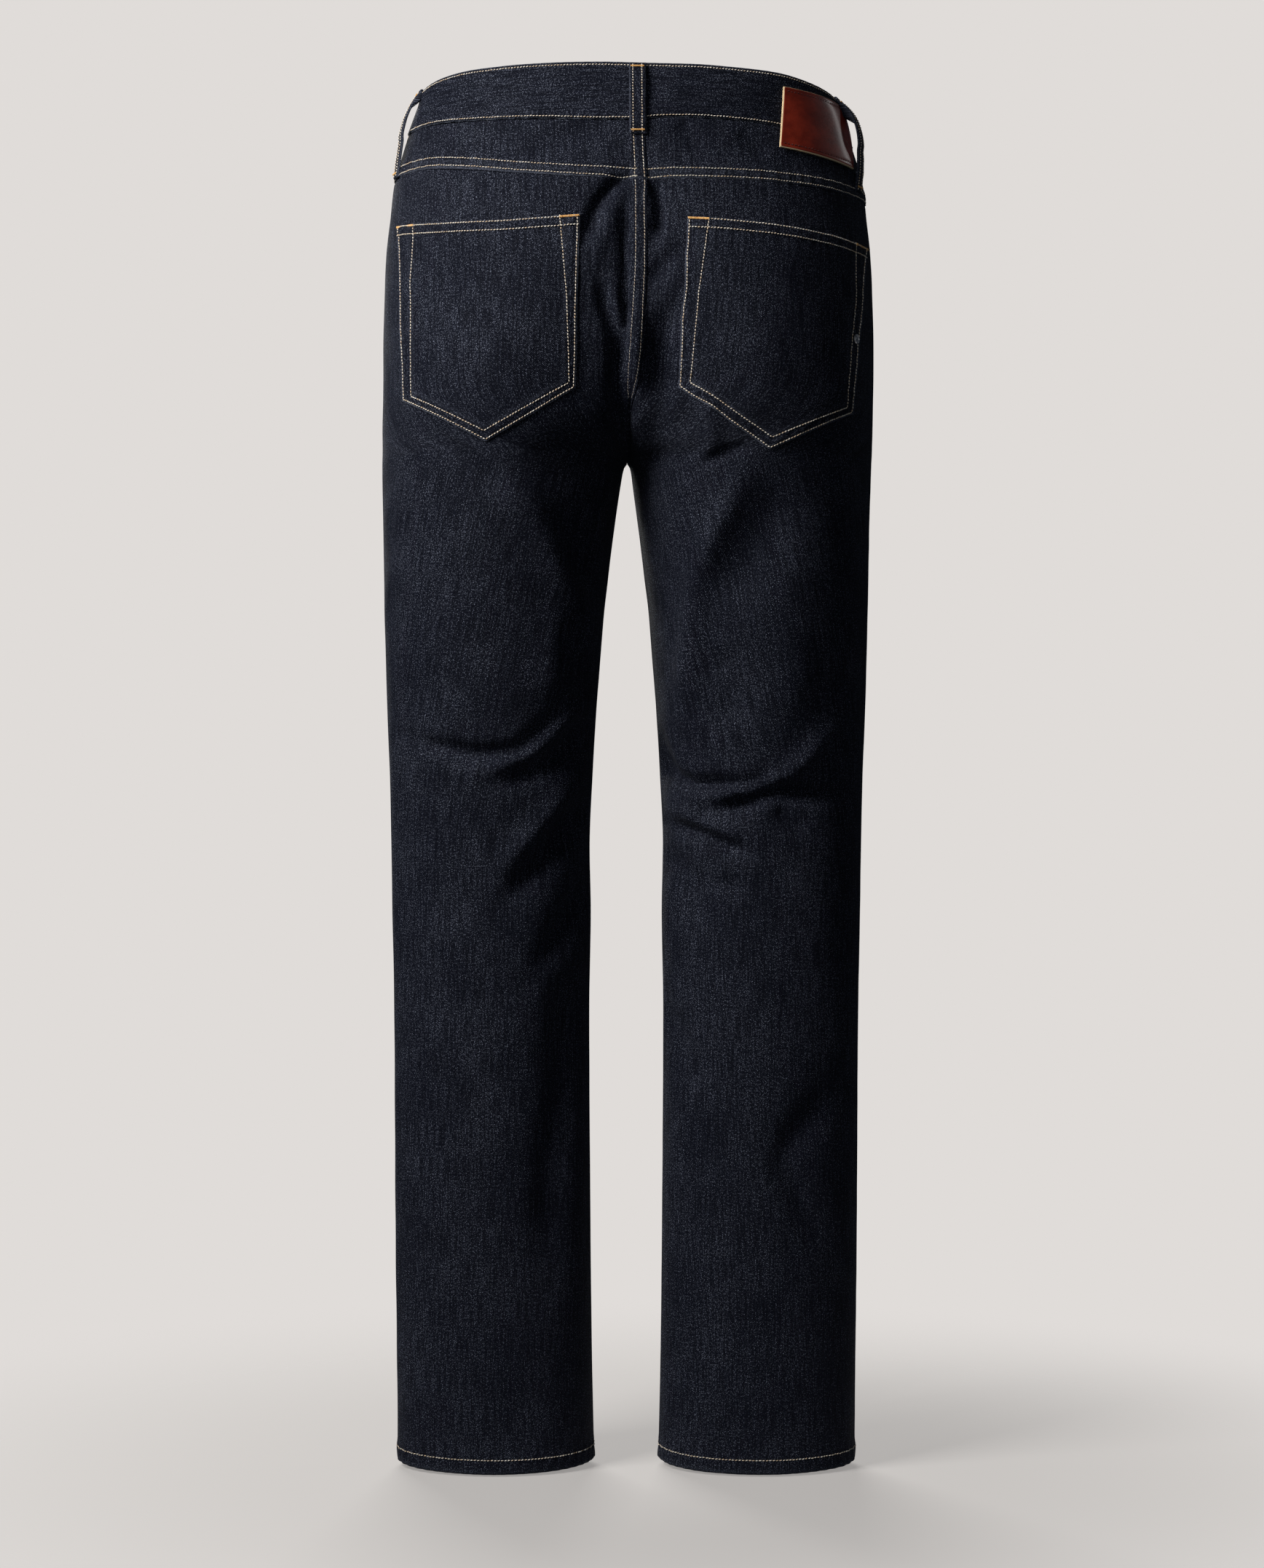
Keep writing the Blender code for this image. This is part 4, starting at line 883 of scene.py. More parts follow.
def thickness(level):
    """The hem is two layers deep, and its fold is rounded."""
    layers = 1 + (1 - smooth_steps(level, HEM_DEPTH, HEM_DEPTH + 1.0))
    return DENIM * layers - 1.6 * rounding(level, DENIM)


def grain_of(piece, from_centre, level, side, facing=1):
    """Cloth coordinates in mm. facing is -1 on the front, so that the twill leans the same way."""
    across = (from_centre + CUT_FROM[piece]) * SIDES[side] * facing
    return both(across + CUT_FROM[side], level)


def back_panel(side, cloth):
    offsets = np.array([-0.8, -1.6, -2.6, -4.0, -5.6, -7.5, -9.5, -12.0, -15.0, -18.0])[:, None]

    def level_of(from_centre):
        edge = yoke_edge(side, np.maximum(from_centre[:1], 0.0))
        tuck = TUCK * smooth_steps(from_centre[:1], 0.0, 4.0) - SEAM_GAP
        top = np.concatenate([edge + tuck, edge + tuck / 2, edge + offsets])
        return np.concatenate([top, leg_levels(edge + offsets[-1], 36, 3.3)])

    place = lay_out(QUARTERS[side, REAR], level_of, CENTRE_COLUMNS[side], SIDE_COLUMNS, 94, YOKE_LEVEL)
    level, from_centre = place
    outer = across_back(side, *place, back_relief(side, *place))
    inner = across_back(side, *place, plain_back(side, *place) - thickness(level))
    worn = near(level, EDGE_WEAR) * 0.8
    return shell(f"back_{side}_cloth", outer, inner, grain_of("back", from_centre, level, side), cloth, worn)


def front_mouth(side, along):
    """The level of the front panel's top edge: the pocket's mouth, then the band."""
    band = QUARTERS[side, FORE].line(BAND_BOTTOM, along) - SEAM_GAP
    share = np.clip(along / SCOOP_ALONG, 0, 1)
    drop = SCOOP_DROP * np.sqrt(np.clip(1 - share**2, 0, 1)) ** 1.2
    return band - drop + BAND_TUCK * (1 - smooth_steps(drop, 0.0, 10.0))


def mouth_line(side, inset=0.0, count=260):
    """The pocket's mouth as (distance from the centre, level), moved into the panel by inset."""
    along = SCOOP_ALONG * np.sin(np.linspace(0, np.pi / 2, count))
    level = front_mouth(side, along)
    line = np.stack([(1 - along) * QUARTERS[side, FORE].length(level), level], axis=1)
    step = np.gradient(line, axis=0)
    return line + unit(np.stack([-np.abs(step[:, 1]), -np.abs(step[:, 0])], axis=1)) * inset


def front_relief(side, level, from_centre):
    high = level > SHAPED_TO
    from_mouth = np.full(np.shape(level), 99.0)
    from_mouth[high] = distance_to(mouth_line(side)[::6], from_centre[high], level[high])
    seam = from_centre if side == "right" else from_centre + FAR
    return (
        body_relief(side, FORE, level, from_centre)
        + leg_relief(side, FORE, level, from_centre)
        + 0.35 * (1 - smooth_steps(from_mouth, 9.0, 12.0))
        + groove(*(from_mouth - row for row in TWIN))
        + pucker(level, from_mouth - 5.0, 0.16, pitch=12.0, reach=5.0)
        - rounding(from_mouth, DENIM)
        - 0.5 * near(seam, 1.0) * smooth_steps(level, LAP_FROM, LAP_TO)
        + under_band(QUARTERS[side, FORE], level, from_centre)
    )


def front_panel(side, cloth):
    quarter = QUARTERS[side, FORE]
    mouth = SCOOP_ALONG * np.sin(np.linspace(0, np.pi / 2, 52))
    start = np.array([0.0, 0.0022, 0.0048, 0.0085, 0.0125])
    mouth = np.concatenate([start, mouth[mouth > 0.0145]])
    centre = np.array([9.0, 7.0, 5.2, 3.8, 2.6, 1.6, 0.8, 0.0])
    past = np.linspace(0, 1, 38)[1:-1]
    a, b = len(mouth), len(mouth) + len(past)
    offsets = np.array([0.5, 1.1, 1.8, 2.7, 4.0, 5.6, 7.2, 8.1, 9.0, 10.5, 12.5, 15.0])[:, None]
    along = np.linspace(0, 1, b + len(centre))[None, :]
    for _ in range(5):
        top = front_mouth(side, along[:1])
        level = np.concatenate([top, top - offsets, leg_levels(top - offsets[-1], 34, 4.3)])
        length = quarter.length(level)
        last = 1 - centre[0] / length
        beside_mouth = np.broadcast_to(mouth, (len(level), a))
        middle = SCOOP_ALONG + past * (last[:, a:b] - SCOOP_ALONG)
        along = np.concatenate([beside_mouth, middle, 1 - centre / length[:, b:]], axis=1)
    from_centre = (1 - along) * length
    outer = quarter.at(level, along, front_relief(side, level, from_centre))
    flat = body_relief(side, FORE, level, from_centre) + under_band(quarter, level, from_centre)
    inner = quarter.at(level, along, flat - thickness(level))
    grain = grain_of("front", from_centre, level, side, -1)
    return shell(f"front_{side}_cloth", outer, inner, grain, cloth, near(level, EDGE_WEAR) * 0.8)


def pocket_facing(side, cloth):
    quarter = QUARTERS[side, FORE]
    reach = SCOOP_ALONG + FACING_UNDERLAP / quarter.length(FACING_LEVEL)
    along = np.linspace(0, reach, 60)[None, :]
    top = quarter.line(BAND_BOTTOM, along) - SEAM_GAP
    bottom = top + SEAM_GAP - SCOOP_DROP - FACING_UNDERLAP
    level = blend(top + BAND_TUCK, bottom, np.linspace(0, 1, 44)[:, None])
    from_centre = (1 - along) * quarter.length(level)
    slack = 0.6 * np.minimum(crumple(from_centre, level, 5 + SIDES[side]), 0.0)
    lift = slack - (DENIM + 3 * SEAM_GAP) - 0.4
    outer, inner = quarter.at(level, along, lift), quarter.at(level, along, lift - DENIM)
    grain = grain_of("facing", from_centre, level, side, -1)
    return shell(f"pocket_facing_{side}_cloth", outer, inner, grain, cloth)


def yoke(side, cloth):
    quarter = QUARTERS[side, REAR]
    low = np.array([0.0, 0.4, 0.9, 1.7, 2.5, 3.6, 5.0, 6.4, 7.3, 8.1, 8.9, 10.2, 12.0, 14.5])[:, None]

    def level_of(from_centre):
        own = np.maximum(from_centre[:1], 0.0)
        edge = yoke_edge(side, own)
        top = quarter.line(BAND_BOTTOM, np.clip(1 - own / quarter.length(YOKE_TOP), 0, 1))
        upper = blend(edge + low[-1], top - 2.6, np.linspace(0, 1, 13)[1:, None])
        tucked = top + np.array([-1.7, -1.0, -0.4, 0.2, 0.9, BAND_TUCK])[:, None]
        return np.concatenate([edge + low, upper, tucked])[::-1]

    place = lay_out(quarter, level_of, CENTRE_COLUMNS[side], SIDE_COLUMNS, 180, YOKE_MIDDLE)
    level, from_centre = place
    above = level - yoke_edge(side, np.maximum(from_centre, 0.0))
    outer = across_back(side, *place, yoke_relief(side, *place))
    inner = across_back(side, *place, plain_yoke(side, *place, above) - DENIM)
    worn = near(above, 1.2) * 0.9 + near(above - 4.9, 1.5) * 0.25
    return shell(f"yoke_{side}_cloth", outer, inner, grain_of("yoke", from_centre, level, side), cloth, worn)


# ---------------------------------------------------------------- the waistband
RING = (("left", FORE), ("left", REAR), ("right", REAR), ("right", FORE))
RING_LEVEL = 1085.0
RING_STEPS = 136


def ring_places():
    """For each quarter of the band: the quarter, places along it and the way round so far."""
    done = 0.0
    for index, key in enumerate(RING):
        quarter = QUARTERS[key]
        rising = np.linspace(0, 1, RING_STEPS + 1)
        along = rising if index % 2 else rising[::-1]
        along, rising = (along[:-1], rising[:-1]) if index < 3 else (along, rising)
        length = quarter.length(RING_LEVEL)
        yield quarter, along, done + rising * length
        done += length


def band_relief(s, below_top, above_low):
    return (
        BAND_PROUD
        + 0.4 * crumple(s, above_low, 77)
        + pucker(s, above_low - 2.0, 0.22, pitch=12.5, reach=6.0)
        + pucker(s + 40, below_top - 3.0, 0.14, pitch=9.0, reach=4.0)
        + groove(below_top - BAND_TOP_ROW, above_low - BAND_LOW_ROW)
        - rounding(below_top, BAND_THICK)
        - 1.4 * rounding(above_low, BAND_THICK)
    )


def band_rows(near_top=None, near_low=None):
    """Points round the band, and the ways out of it, at a distance from its top or bottom edge."""
    rows = []
    for quarter, along, s in ring_places():
        top, low = quarter.line(BAND_TOP, along), quarter.line(BAND_BOTTOM, along)
        level = top - near_top if near_top is not None else low + near_low
        relief = band_relief(s, top - level, level - low)
        rows.append(on_face(lambda lift: quarter.at(level, along, lift), relief))
    return [np.concatenate(part) for part in zip(*rows)]


def waistband(cloth):
    top_rows = np.array([0.0, 0.4, 0.9, 1.5, 2.0, 2.6, 3.2, 4.0, 5.5, 8.0])[:, None]
    low_rows = np.array([7.0, 5.0, 3.8, 2.9, 2.2, 1.5, 0.9, 0.4, 0.0])[:, None]
    shares = np.linspace(0, 1, 13)[1:-1, None]
    parts = []
    for quarter, along, s in ring_places():
        top, low = quarter.line(BAND_TOP, along), quarter.line(BAND_BOTTOM, along)
        middle = blend(top - top_rows[-1], low + low_rows[0], shares)
        level = np.concatenate([top - top_rows, middle, low + low_rows])
        below_top, above_low = top - level, level - low
        turn_in = rounding(below_top, BAND_THICK) + rounding(above_low, BAND_THICK)
        depth = BAND_PROUD - BAND_THICK + turn_in + 0.25 * crumple(s, above_low, 77)
        parts.append((
            quarter.at(level, along, band_relief(s, below_top, above_low)),
            quarter.at(level, along, depth),
            both(level, s),
            near(below_top, 0.9) * 0.7 + near(above_low, 0.9) * 0.5,
        ))
    outer, inner, grain, worn = (np.concatenate(part, axis=1) for part in zip(*parts))
    return shell("waistband_cloth", outer, inner, grain, cloth, worn)


# ---------------------------------------------------------------- back pockets
POCKET_SAG = {"left": 5.5, "right": 0.0}  # how far the middle of the top edge hangs
# The inner row of stitches down the outer side, round the point and up the inner side.
POCKET_INNER_ROW = {
    "left": (
        (166.5, 995.0), (168.6, 950.0), (167.9, 857.5), (110.3, 827.6), (44.5, 864.2), (46.0, 930.0),
        (51.2, 993.5),
    ),
    "right": (
        (-181.5, 983.0), (-180.4, 940.0), (-173.0, 849.1), (-113.6, 822.7), (-51.1, 864.9), (-56.5, 930.0),
        (-64.5, 990.5),
    ),
}
POCKET_RIM = 12.5  # the close rows of points along a pocket's edges reach this far in


def pocket_top(side, across):
    """Points along a pocket's top edge, from its inner corner at 0 to its outer corner at 1."""
    corners = POCKETS[side]
    top = np.outer(1 - across, corners.top_in) + np.outer(across, corners.top_out)
    top[:, 1] -= POCKET_SAG[side] * np.sin(np.pi * across)
    return top


def pocket_edges(side):
    """The sewn edge round a pocket, from its outer top corner to its inner one, and its top edge."""
    top_in, *around = POCKETS[side]
    return np.array([*around, top_in], float), pocket_top(side, np.linspace(0, 1, 13))


def pocket_layers(side, x, height):
    """Lifts of a back pocket's outer and inner faces at places seen from behind."""
    quarter = QUARTERS[side, REAR]
    level, along = quarter.find(x, height)
    around, top = pocket_edges(side)
    to_edge, to_top = distance_to(around, x, height), distance_to(top, x, height)
    to_row = distance_to(POCKET_INNER_ROW[side], x, height)
    across = np.clip((np.abs(x) - abs(top[0, 0])) / (abs(top[-1, 0]) - abs(top[0, 0])), 0, 1)
    stand_off = 1.5 * near(to_top, 20.0) * np.sin(np.pi * across) ** 0.8
    under = back_relief(side, level, (1 - along) * quarter.length(level)) + SEAM_GAP + stand_off
    way = x + height
    outer = (
        under
        + POCKET_THICK
        + 0.40 * (1 - smooth_steps(to_edge, 8.0, 11.0))
        + 0.55 * (1 - smooth_steps(to_top, 7.9, 9.4))
        + pucker(way * 1.3, to_edge - 4.5, 0.20, pitch=13.0, reach=6.0)
        + ladder(way * 1.2, to_edge - 5.0, 0.24)
        + ladder(x, to_top - 4.2, 0.24)
        + 0.35 * crumple(x, height, 31 + SIDES[side])
        + groove(to_edge - BESIDE_EDGE, to_row, *(to_top - row for row in POCKET_TOP_ROWS))
    )
    turn_in = rounding(np.minimum(to_edge, to_top), POCKET_THICK)
    return level, along, outer - turn_in, under + 0.4 * turn_in


def on_pocket(side, x, height):
    """Points on a back pocket's outer face, and the ways out of it."""
    level, along, face, _ = pocket_layers(side, x, height)
    return on_face(lambda lift: QUARTERS[side, REAR].at(level, along, lift), face)


def back_pocket(side, cloth):
    quarter, corners = QUARTERS[side, REAR], POCKETS[side]
    width = abs(corners.top_out[0] - corners.top_in[0])
    edge = np.array([0.0, 0.4, 0.9, 1.7, 2.5, 3.8, 5.5, 7.2, 8.6, 10.0, 12.0])
    middle = np.linspace(edge[-1], width - edge[-1], 78)[1:-1]
    across = np.concatenate([edge, middle, (width - edge)[::-1]]) / width
    top = pocket_top(side, across)
    low = np.array([corners.side_in, corners.point, corners.side_out], float)
    point_share = abs(low[1, 0] - low[0, 0]) / abs(low[2, 0] - low[0, 0])
    bottom = np.stack([np.interp(across, [0.0, point_share, 1.0], low[:, k]) for k in range(2)], axis=1)
    deep = (top - bottom)[:, 1]
    from_top = np.array([0.0, 0.4, 1.1, 1.9, 2.8, 4.2, 5.8, 6.6, 7.3, 8.0, 9.0, 10.5, POCKET_RIM])[:, None]
    from_low = np.array([POCKET_RIM, 11.0, 9.6, 8.6, 7.8, 7.0, 5.6, 4.0, 2.8, 1.8, 1.1, 0.5, 0.0])[:, None]
    share = np.linspace(0, 1, 84)[1:-1, None]
    down = [from_top + 0 * deep, POCKET_RIM + share * (deep - 2 * POCKET_RIM), deep - from_low]
    place = blend(top[None], bottom[None], (np.concatenate(down) / deep)[..., None])
    x, height = place[..., 0], place[..., 1]
    level, along, outer_lift, inner_lift = pocket_layers(side, x, height)
    outer, inner = quarter.at(level, along, outer_lift), quarter.at(level, along, inner_lift)
    to_edge, to_top = (distance_to(line, x, height) for line in pocket_edges(side))
    worn = near(to_edge, 0.9) * 1.7 + near(to_top, 0.8) * 0.8 + near(to_edge - 9.8, 1.6) * 0.2
    grain = grain_of("pocket", (1 - along) * quarter.length(level), level + 13.0, side)
    return shell(f"back_pocket_{side}_cloth", outer, inner, grain, cloth, worn)


# ---------------------------------------------------------------- fly, loops and patch
FLY_CORNER = FLY_WIDTH * 0.9  # radius of the curve at the fly's foot


def fly_outline(inset=0.0):
    """The fly's outer edge from the band down to the centre, as (distance, drop)."""
    turn = np.linspace(0, np.pi / 2, 40)[:, None]
    reach = FLY_CORNER - inset
    corner = (FLY_WIDTH - FLY_CORNER, FLY_LENGTH - FLY_CORNER)
    curve = corner + reach * np.hstack([np.cos(turn), np.sin(turn)])
    straight = both(FLY_WIDTH - inset, np.linspace(0, FLY_LENGTH - FLY_CORNER, 40)[:-1])
    return np.concatenate([straight, curve, [[SEAM_GAP, FLY_LENGTH - inset]]])


def on_fly(from_centre, drop, raise_by=0.0):
    """Points of the fly's outer and inner faces, and how far each is from the edge, and its level."""
    quarter = QUARTERS["left", FORE]
    top = quarter.line(BAND_BOTTOM, 1 - from_centre / quarter.length(FLY_LEVEL)) - SEAM_GAP
    level = top - drop
    under = front_relief("left", level, from_centre) + SEAM_GAP
    to_edge = distance_to(fly_outline(), from_centre, drop)
    outer = under + FLY_THICK + groove(*(to_edge - row for row in TWIN))
    outer = outer + pucker(drop, to_edge - 4, 0.2, pitch=12.0) - rounding(to_edge, FLY_THICK)
    along = 1 - from_centre / quarter.length(level)
    return quarter.at(level, along, outer + raise_by), quarter.at(level, along, under), to_edge, level


def fly(cloth):
    drop = np.concatenate([np.linspace(0, 120, 56), FLY_LENGTH - np.linspace(18, 0, 22)[1:] ** 1.2 / 1.78])
    drop = np.clip(drop, 0, FLY_LENGTH)[:, None]
    below = np.clip((drop - (FLY_LENGTH - FLY_CORNER)) / FLY_CORNER, 0, 1)
    width = FLY_WIDTH - FLY_CORNER * (1 - np.sqrt(np.clip(1 - below**2, 0, 1)))
    edge = np.array([0.0, 0.02, 0.045, 0.09, 0.13, 0.18, 0.215, 0.25])
    across = np.concatenate([np.linspace(0, 0.72, 14), 1 - edge[::-1]])[None, :]
    from_centre = SEAM_GAP + across * (width - SEAM_GAP)
    outer, inner, to_edge, level = on_fly(from_centre, drop + 0 * from_centre)
    grain = grain_of("fly", from_centre, level, "left", -1)
    return shell("fly_cloth", outer, inner, grain, cloth, near(to_edge, 1.0) * 0.8)


LOOP_COLUMNS = (0.0, 1.4, 2.7, 3.5, 4.3, 5.2, 5.9, 6.3, LOOP_WIDTH / 2)  # from the middle to one side
LOOP_ROWS = (5, 11)  # the columns that the two rows of stitches follow
LOOP_KNOB = {"side_right": (0.16, 0.30), "side_left": (0.08, 0.20)}  # the folded ends fill these
LOOP_FLUSH = 2.0  # the back loop sits this much lower


def belt_loop(name, place, cloth):
    """A folded strap, sewn down at both ends, that stands off the band between them."""
    quarter = QUARTERS[place.side, place.face]
    shares = np.concatenate([[0, 0.006, 0.015], np.linspace(0.03, 0.97, 44), [0.985, 0.994, 1.0]])
    along = blend(place.top, place.bottom, shares)
    flush = LOOP_FLUSH if name == "back" else 0.0
    top = quarter.line(BAND_TOP, place.top) + LOOP_ABOVE_EDGE - flush
    band_edge = quarter.line(BAND_BOTTOM, place.bottom)
    level = blend(top, band_edge - place.below - flush, shares)
    lift = OVER_BAND_GAP + BAND_PROUD * smooth_steps(level, band_edge - 8.0, band_edge - 1.0)
    lift += place.bow * np.sin(np.pi * np.clip((shares - 0.05) / 0.9, 0, 1) ** LOOP_SKEW)
    folded_in = 1 - smooth_steps(shares, *LOOP_KNOB[name]) if name in LOOP_KNOB else 0 * shares
    if name == "back":
        lift += LAP * (1 - smooth_steps(level, band_edge - 3.0, band_edge))
    centre = quarter.at(level, along)
    normal = unit((quarter.at(level, along, 1.0) - centre).mean(0) * (1, 1, 0))
    across = np.array([-x for x in LOOP_COLUMNS[:0:-1]] + list(LOOP_COLUMNS))
    spread = centre[:, None] + np.cross((0, 0, 1), normal) * across[:, None]
    towards = quarter.sign * (1 if quarter.face == REAR else -1)
    steps = towards * across if place.top < 1 else -np.abs(across)
    beside = quarter.at(level[:, None], along[:, None] + steps / quarter.length(RING_LEVEL))
    fall = (centre[:, None] - beside) @ normal
    inner = spread + normal * (lift[:, None] - fall)[..., None]
    to_side = (LOOP_WIDTH / 2 - np.abs(across))[None, :]
    length = np.linalg.norm(np.diff(centre, axis=0), axis=1).sum()
    to_end = np.minimum(shares, 1 - shares)[:, None] * length
    rows = groove(*(across[None, :] - across[column] for column in LOOP_ROWS))
    weave = 0.12 * np.sin(level / 2.1 + 2 * np.sin(level / 11))[:, None] * near(to_side, 3)
    turn_in = rounding(np.minimum(to_side, to_end), LOOP_THICK)
    outer = inner + normal * (LOOP_THICK + rows + weave - turn_in)[..., None]
    inner = inner - normal * (folded_in * (lift - OVER_BAND_GAP))[:, None, None]
    inner = inner + normal * 0.4 * turn_in[..., None]
    grain = both(across * SIDES[place.side] + CUT_FROM["loop"], level[:, None] + 41.0)
    worn = near(to_side, 0.9) * 0.9
    return shell(f"belt_loop_{name}_cloth", outer, inner, grain, cloth, worn), outer, normal


PATCH_WIDE, PATCH_TALL = 84.0, 50.0
PATCH_ROWS = (0.07, 0.93)  # where its two rows of stitches run, as shares of its height


def patch_place(down, across, lift):
    """Points of the patch: down and across it from 0 to 1, starting at its outer top corner."""
    upper, lower = (
        blend(np.array(start), np.array(end), across[..., None]) for start, end in (PATCH_TOP, PATCH_BOTTOM)
    )
    place = blend(upper, lower, down[..., None])
    return QUARTERS["right", REAR].at(place[..., 1], place[..., 0], BAND_PROUD + OVER_BAND_GAP + lift)


def patch_relief(down, across):
    """Leather bends in broad shallow waves, and sinks where it is sewn."""
    to_end = np.minimum(down, 1 - down) * PATCH_TALL
    to_side = np.minimum(across, 1 - across) * PATCH_WIDE
    wave = 0.22 * np.sin(across * 9.0 + down * 2.0) + 0.18 * np.sin(across * 4.0 - down * 6.0 + 1.0)
    edge = near(np.minimum(to_end, to_side), 0.7) * 0.55
    return wave * np.clip(to_side / 6, 0, 1) * np.clip(to_end / 6, 0, 1) + groove(to_end - 3.0) * 0.8 - edge


def leather_patch(materials):
    close = np.array([0, 0.006, 0.013, 0.022, 0.04, 0.06, 0.08])
    down = np.concatenate([close, np.linspace(0.1, 0.9, 34), 1 - close[::-1]])[:, None]
    across = np.concatenate(
        [[0, 0.005, 0.012, 0.025], np.linspace(0.04, 0.96, 64), [0.975, 0.984, 0.989, 0.993, 0.9965, 1.0]]
    )
    down, across = np.broadcast_arrays(down, across[None, :])
    outer = patch_place(down, across, PATCH_THICK + patch_relief(down, across))
    inner = patch_place(down, across, 0 * down)
    cut = near((1 - across) * PATCH_WIDE, 0.8)
    cut = cut + near(down * PATCH_TALL - PATCH_TALL, 0.75) + 0.7 * near(down * PATCH_TALL, 0.45)
    grain = both(across * PATCH_WIDE, down * PATCH_TALL)
    return shell("leather_patch_hide", outer, inner, grain, materials, np.clip(cut, 0, 1))


# ---------------------------------------------------------------- metal
def turned(name, profile, place, outward, material, steps=64):
    """A solid of revolution: profile is (radius, height) pairs from its foot to its crown."""
    outward = unit(outward)
    across = unit(np.cross((0.0, 0.0, 1.0), outward))
    turn = np.linspace(0, 2 * np.pi, steps, endpoint=False)[:, None]
    ring = np.cos(turn) * across + np.sin(turn) * np.cross(outward, across)
    vertices = [place + outward * profile[0][1]]
    for radius, height in profile:
        vertices.extend(place + outward * height + ring * radius)
    vertices.append(place + outward * profile[-1][1])
    crown, faces = len(vertices) - 1 - steps, []
    for k in range(steps):
        n = (k + 1) % steps
        faces.append((0, 1 + n, 1 + k))
        for first in range(1, crown, steps):
            a, b = first + k, first + n
            faces += [(a, b, b + steps), (a, b + steps, a + steps)]
        faces.append((crown + k, crown + n, len(vertices) - 1))
    made = mesh_object(name, vertices, faces, [material], grain=np.array(vertices)[:, [0, 2]])
    made.data.set_sharp_from_angle(angle=METAL_CREASE)
    return made


def rounded_profile(points, radius, height, passes=2):
    """The profile at its true size with its corners cut, which rounds it."""
    points = np.array(points, float) * (radius, height)
    for _ in range(passes):
        a, b = points[:-1], points[1:]
        cut = np.stack([a * 0.75 + b * 0.25, a * 0.25 + b * 0.75], axis=1).reshape(-1, 2)
        points = np.concatenate([points[:1], cut, points[-1:]])
    return points


def button(material):
    quarter = QUARTERS["left", FORE]
    centre = np.array([1.0])
    height = (quarter.line(BAND_TOP, centre)[0] + quarter.line(BAND_BOTTOM, centre)[0]) / 2
    place = quarter.at(height, 1.0, BAND_PROUD + SEAM_GAP)
    place[0] = BUTTON_RADIUS * 1.3
    profile = rounded_profile(BUTTON_PROFILE, BUTTON_RADIUS, BUTTON_HEIGHT)
    return turned("button_metal", profile, place, np.array([0.0, -1.0, 0.0]), material), place


def pocket_rivet(material):
    """The round rivet on the outer edge of the right back pocket."""
    x, height = RIVET_PLACE
    foot, outward = (part[0] for part in on_pocket("right", np.array([x]), np.array([height])))
    profile = rounded_profile(RIVET_PROFILE, RIVET_RADIUS, RIVET_HEIGHT)
    return turned("pocket_rivet_metal", profile, foot, outward, material)


# ---------------------------------------------------------------- the rows of stitches
def sew_across_back(thread, relief_of, side, level, from_centre, **how):
    place = on_face(
        lambda lift: across_back(side, level, from_centre, lift), relief_of(side, level, from_centre)
    )
    thread.run(*place, **how)


def sew_body(thread):
    """Yoke and centre back seams."""
    for side in SIDES:
        from_centre = np.linspace(1.0, QUARTERS[side, REAR].length(YOKE_LEVEL) - 1.5, 260)
        for number, above in enumerate(TWIN):
            level = yoke_edge(side, from_centre) + above
            sew_across_back(
                thread, yoke_relief, side, level, from_centre, radius=SEAM_THREAD, seed=20 + number
            )
    bottom = QUARTERS["left", REAR].line(BAND_BOTTOM, np.array([1.0]))[0]
    edge = yoke_edge("left", np.array([0.0]))[0]
    for number, row in enumerate(CENTRE_ROWS):
        for relief_of, low, high, radius in (
            (yoke_relief, edge + 0.6, bottom - 0.8, SEAM_THREAD),
            (back_relief, SUNK_TO, edge - 0.8, SUNK_THREAD),
        ):
            level = np.linspace(high, low, 160)
            sew_across_back(
                thread, relief_of, "left", level, np.full_like(level, row), radius=radius, seed=30 + number
            )


def sew_band(thread):
    for rows in ({"near_top": BAND_TOP_ROW}, {"near_low": BAND_LOW_ROW}):
        points, normals = band_rows(**rows)
        thread.run(points[2:-2], normals[2:-2], radius=SEAM_THREAD, seed=41)


def sew_hems(thread):
    for number, ((side, face), quarter) in enumerate(QUARTERS.items()):
        from_centre = np.linspace(0.6, quarter.length(HEM_ROW) - 0.6, 200)
        level = np.full_like(from_centre, HEM_ROW)
        relief_of = back_relief if face == REAR else front_relief
        along = 1 - from_centre / quarter.length(level)
        place = on_face(lambda lift: quarter.at(level, along, lift), relief_of(side, level, from_centre))
        thread.run(*place, pitch=2.7, seed=50 + number)


def pocket_row(side, corners, samples=90):
    """Points on a back pocket along a line of (x, height) corners, and the ways out of it."""
    corners = np.array(corners, float)
    knots = way_along(corners)
    at = np.linspace(0, knots[-1], samples)
    return on_pocket(side, *(np.interp(at, knots, corners[:, k]) for k in range(2)))


def inset(line, distance, middle):
    """A copy of an open line of corners, moved towards a middle point."""
    step = np.diff(line, axis=0)
    normal = unit(np.stack([-step[:, 1], step[:, 0]], axis=1))
    normal *= np.sign(((middle - line[:-1]) * normal).sum(1, keepdims=True))
    before, after = normal[[0, *range(len(normal))]], normal[[*range(len(normal)), -1]]
    return line + (before + after) * distance / (1 + (before * after).sum(1, keepdims=True))


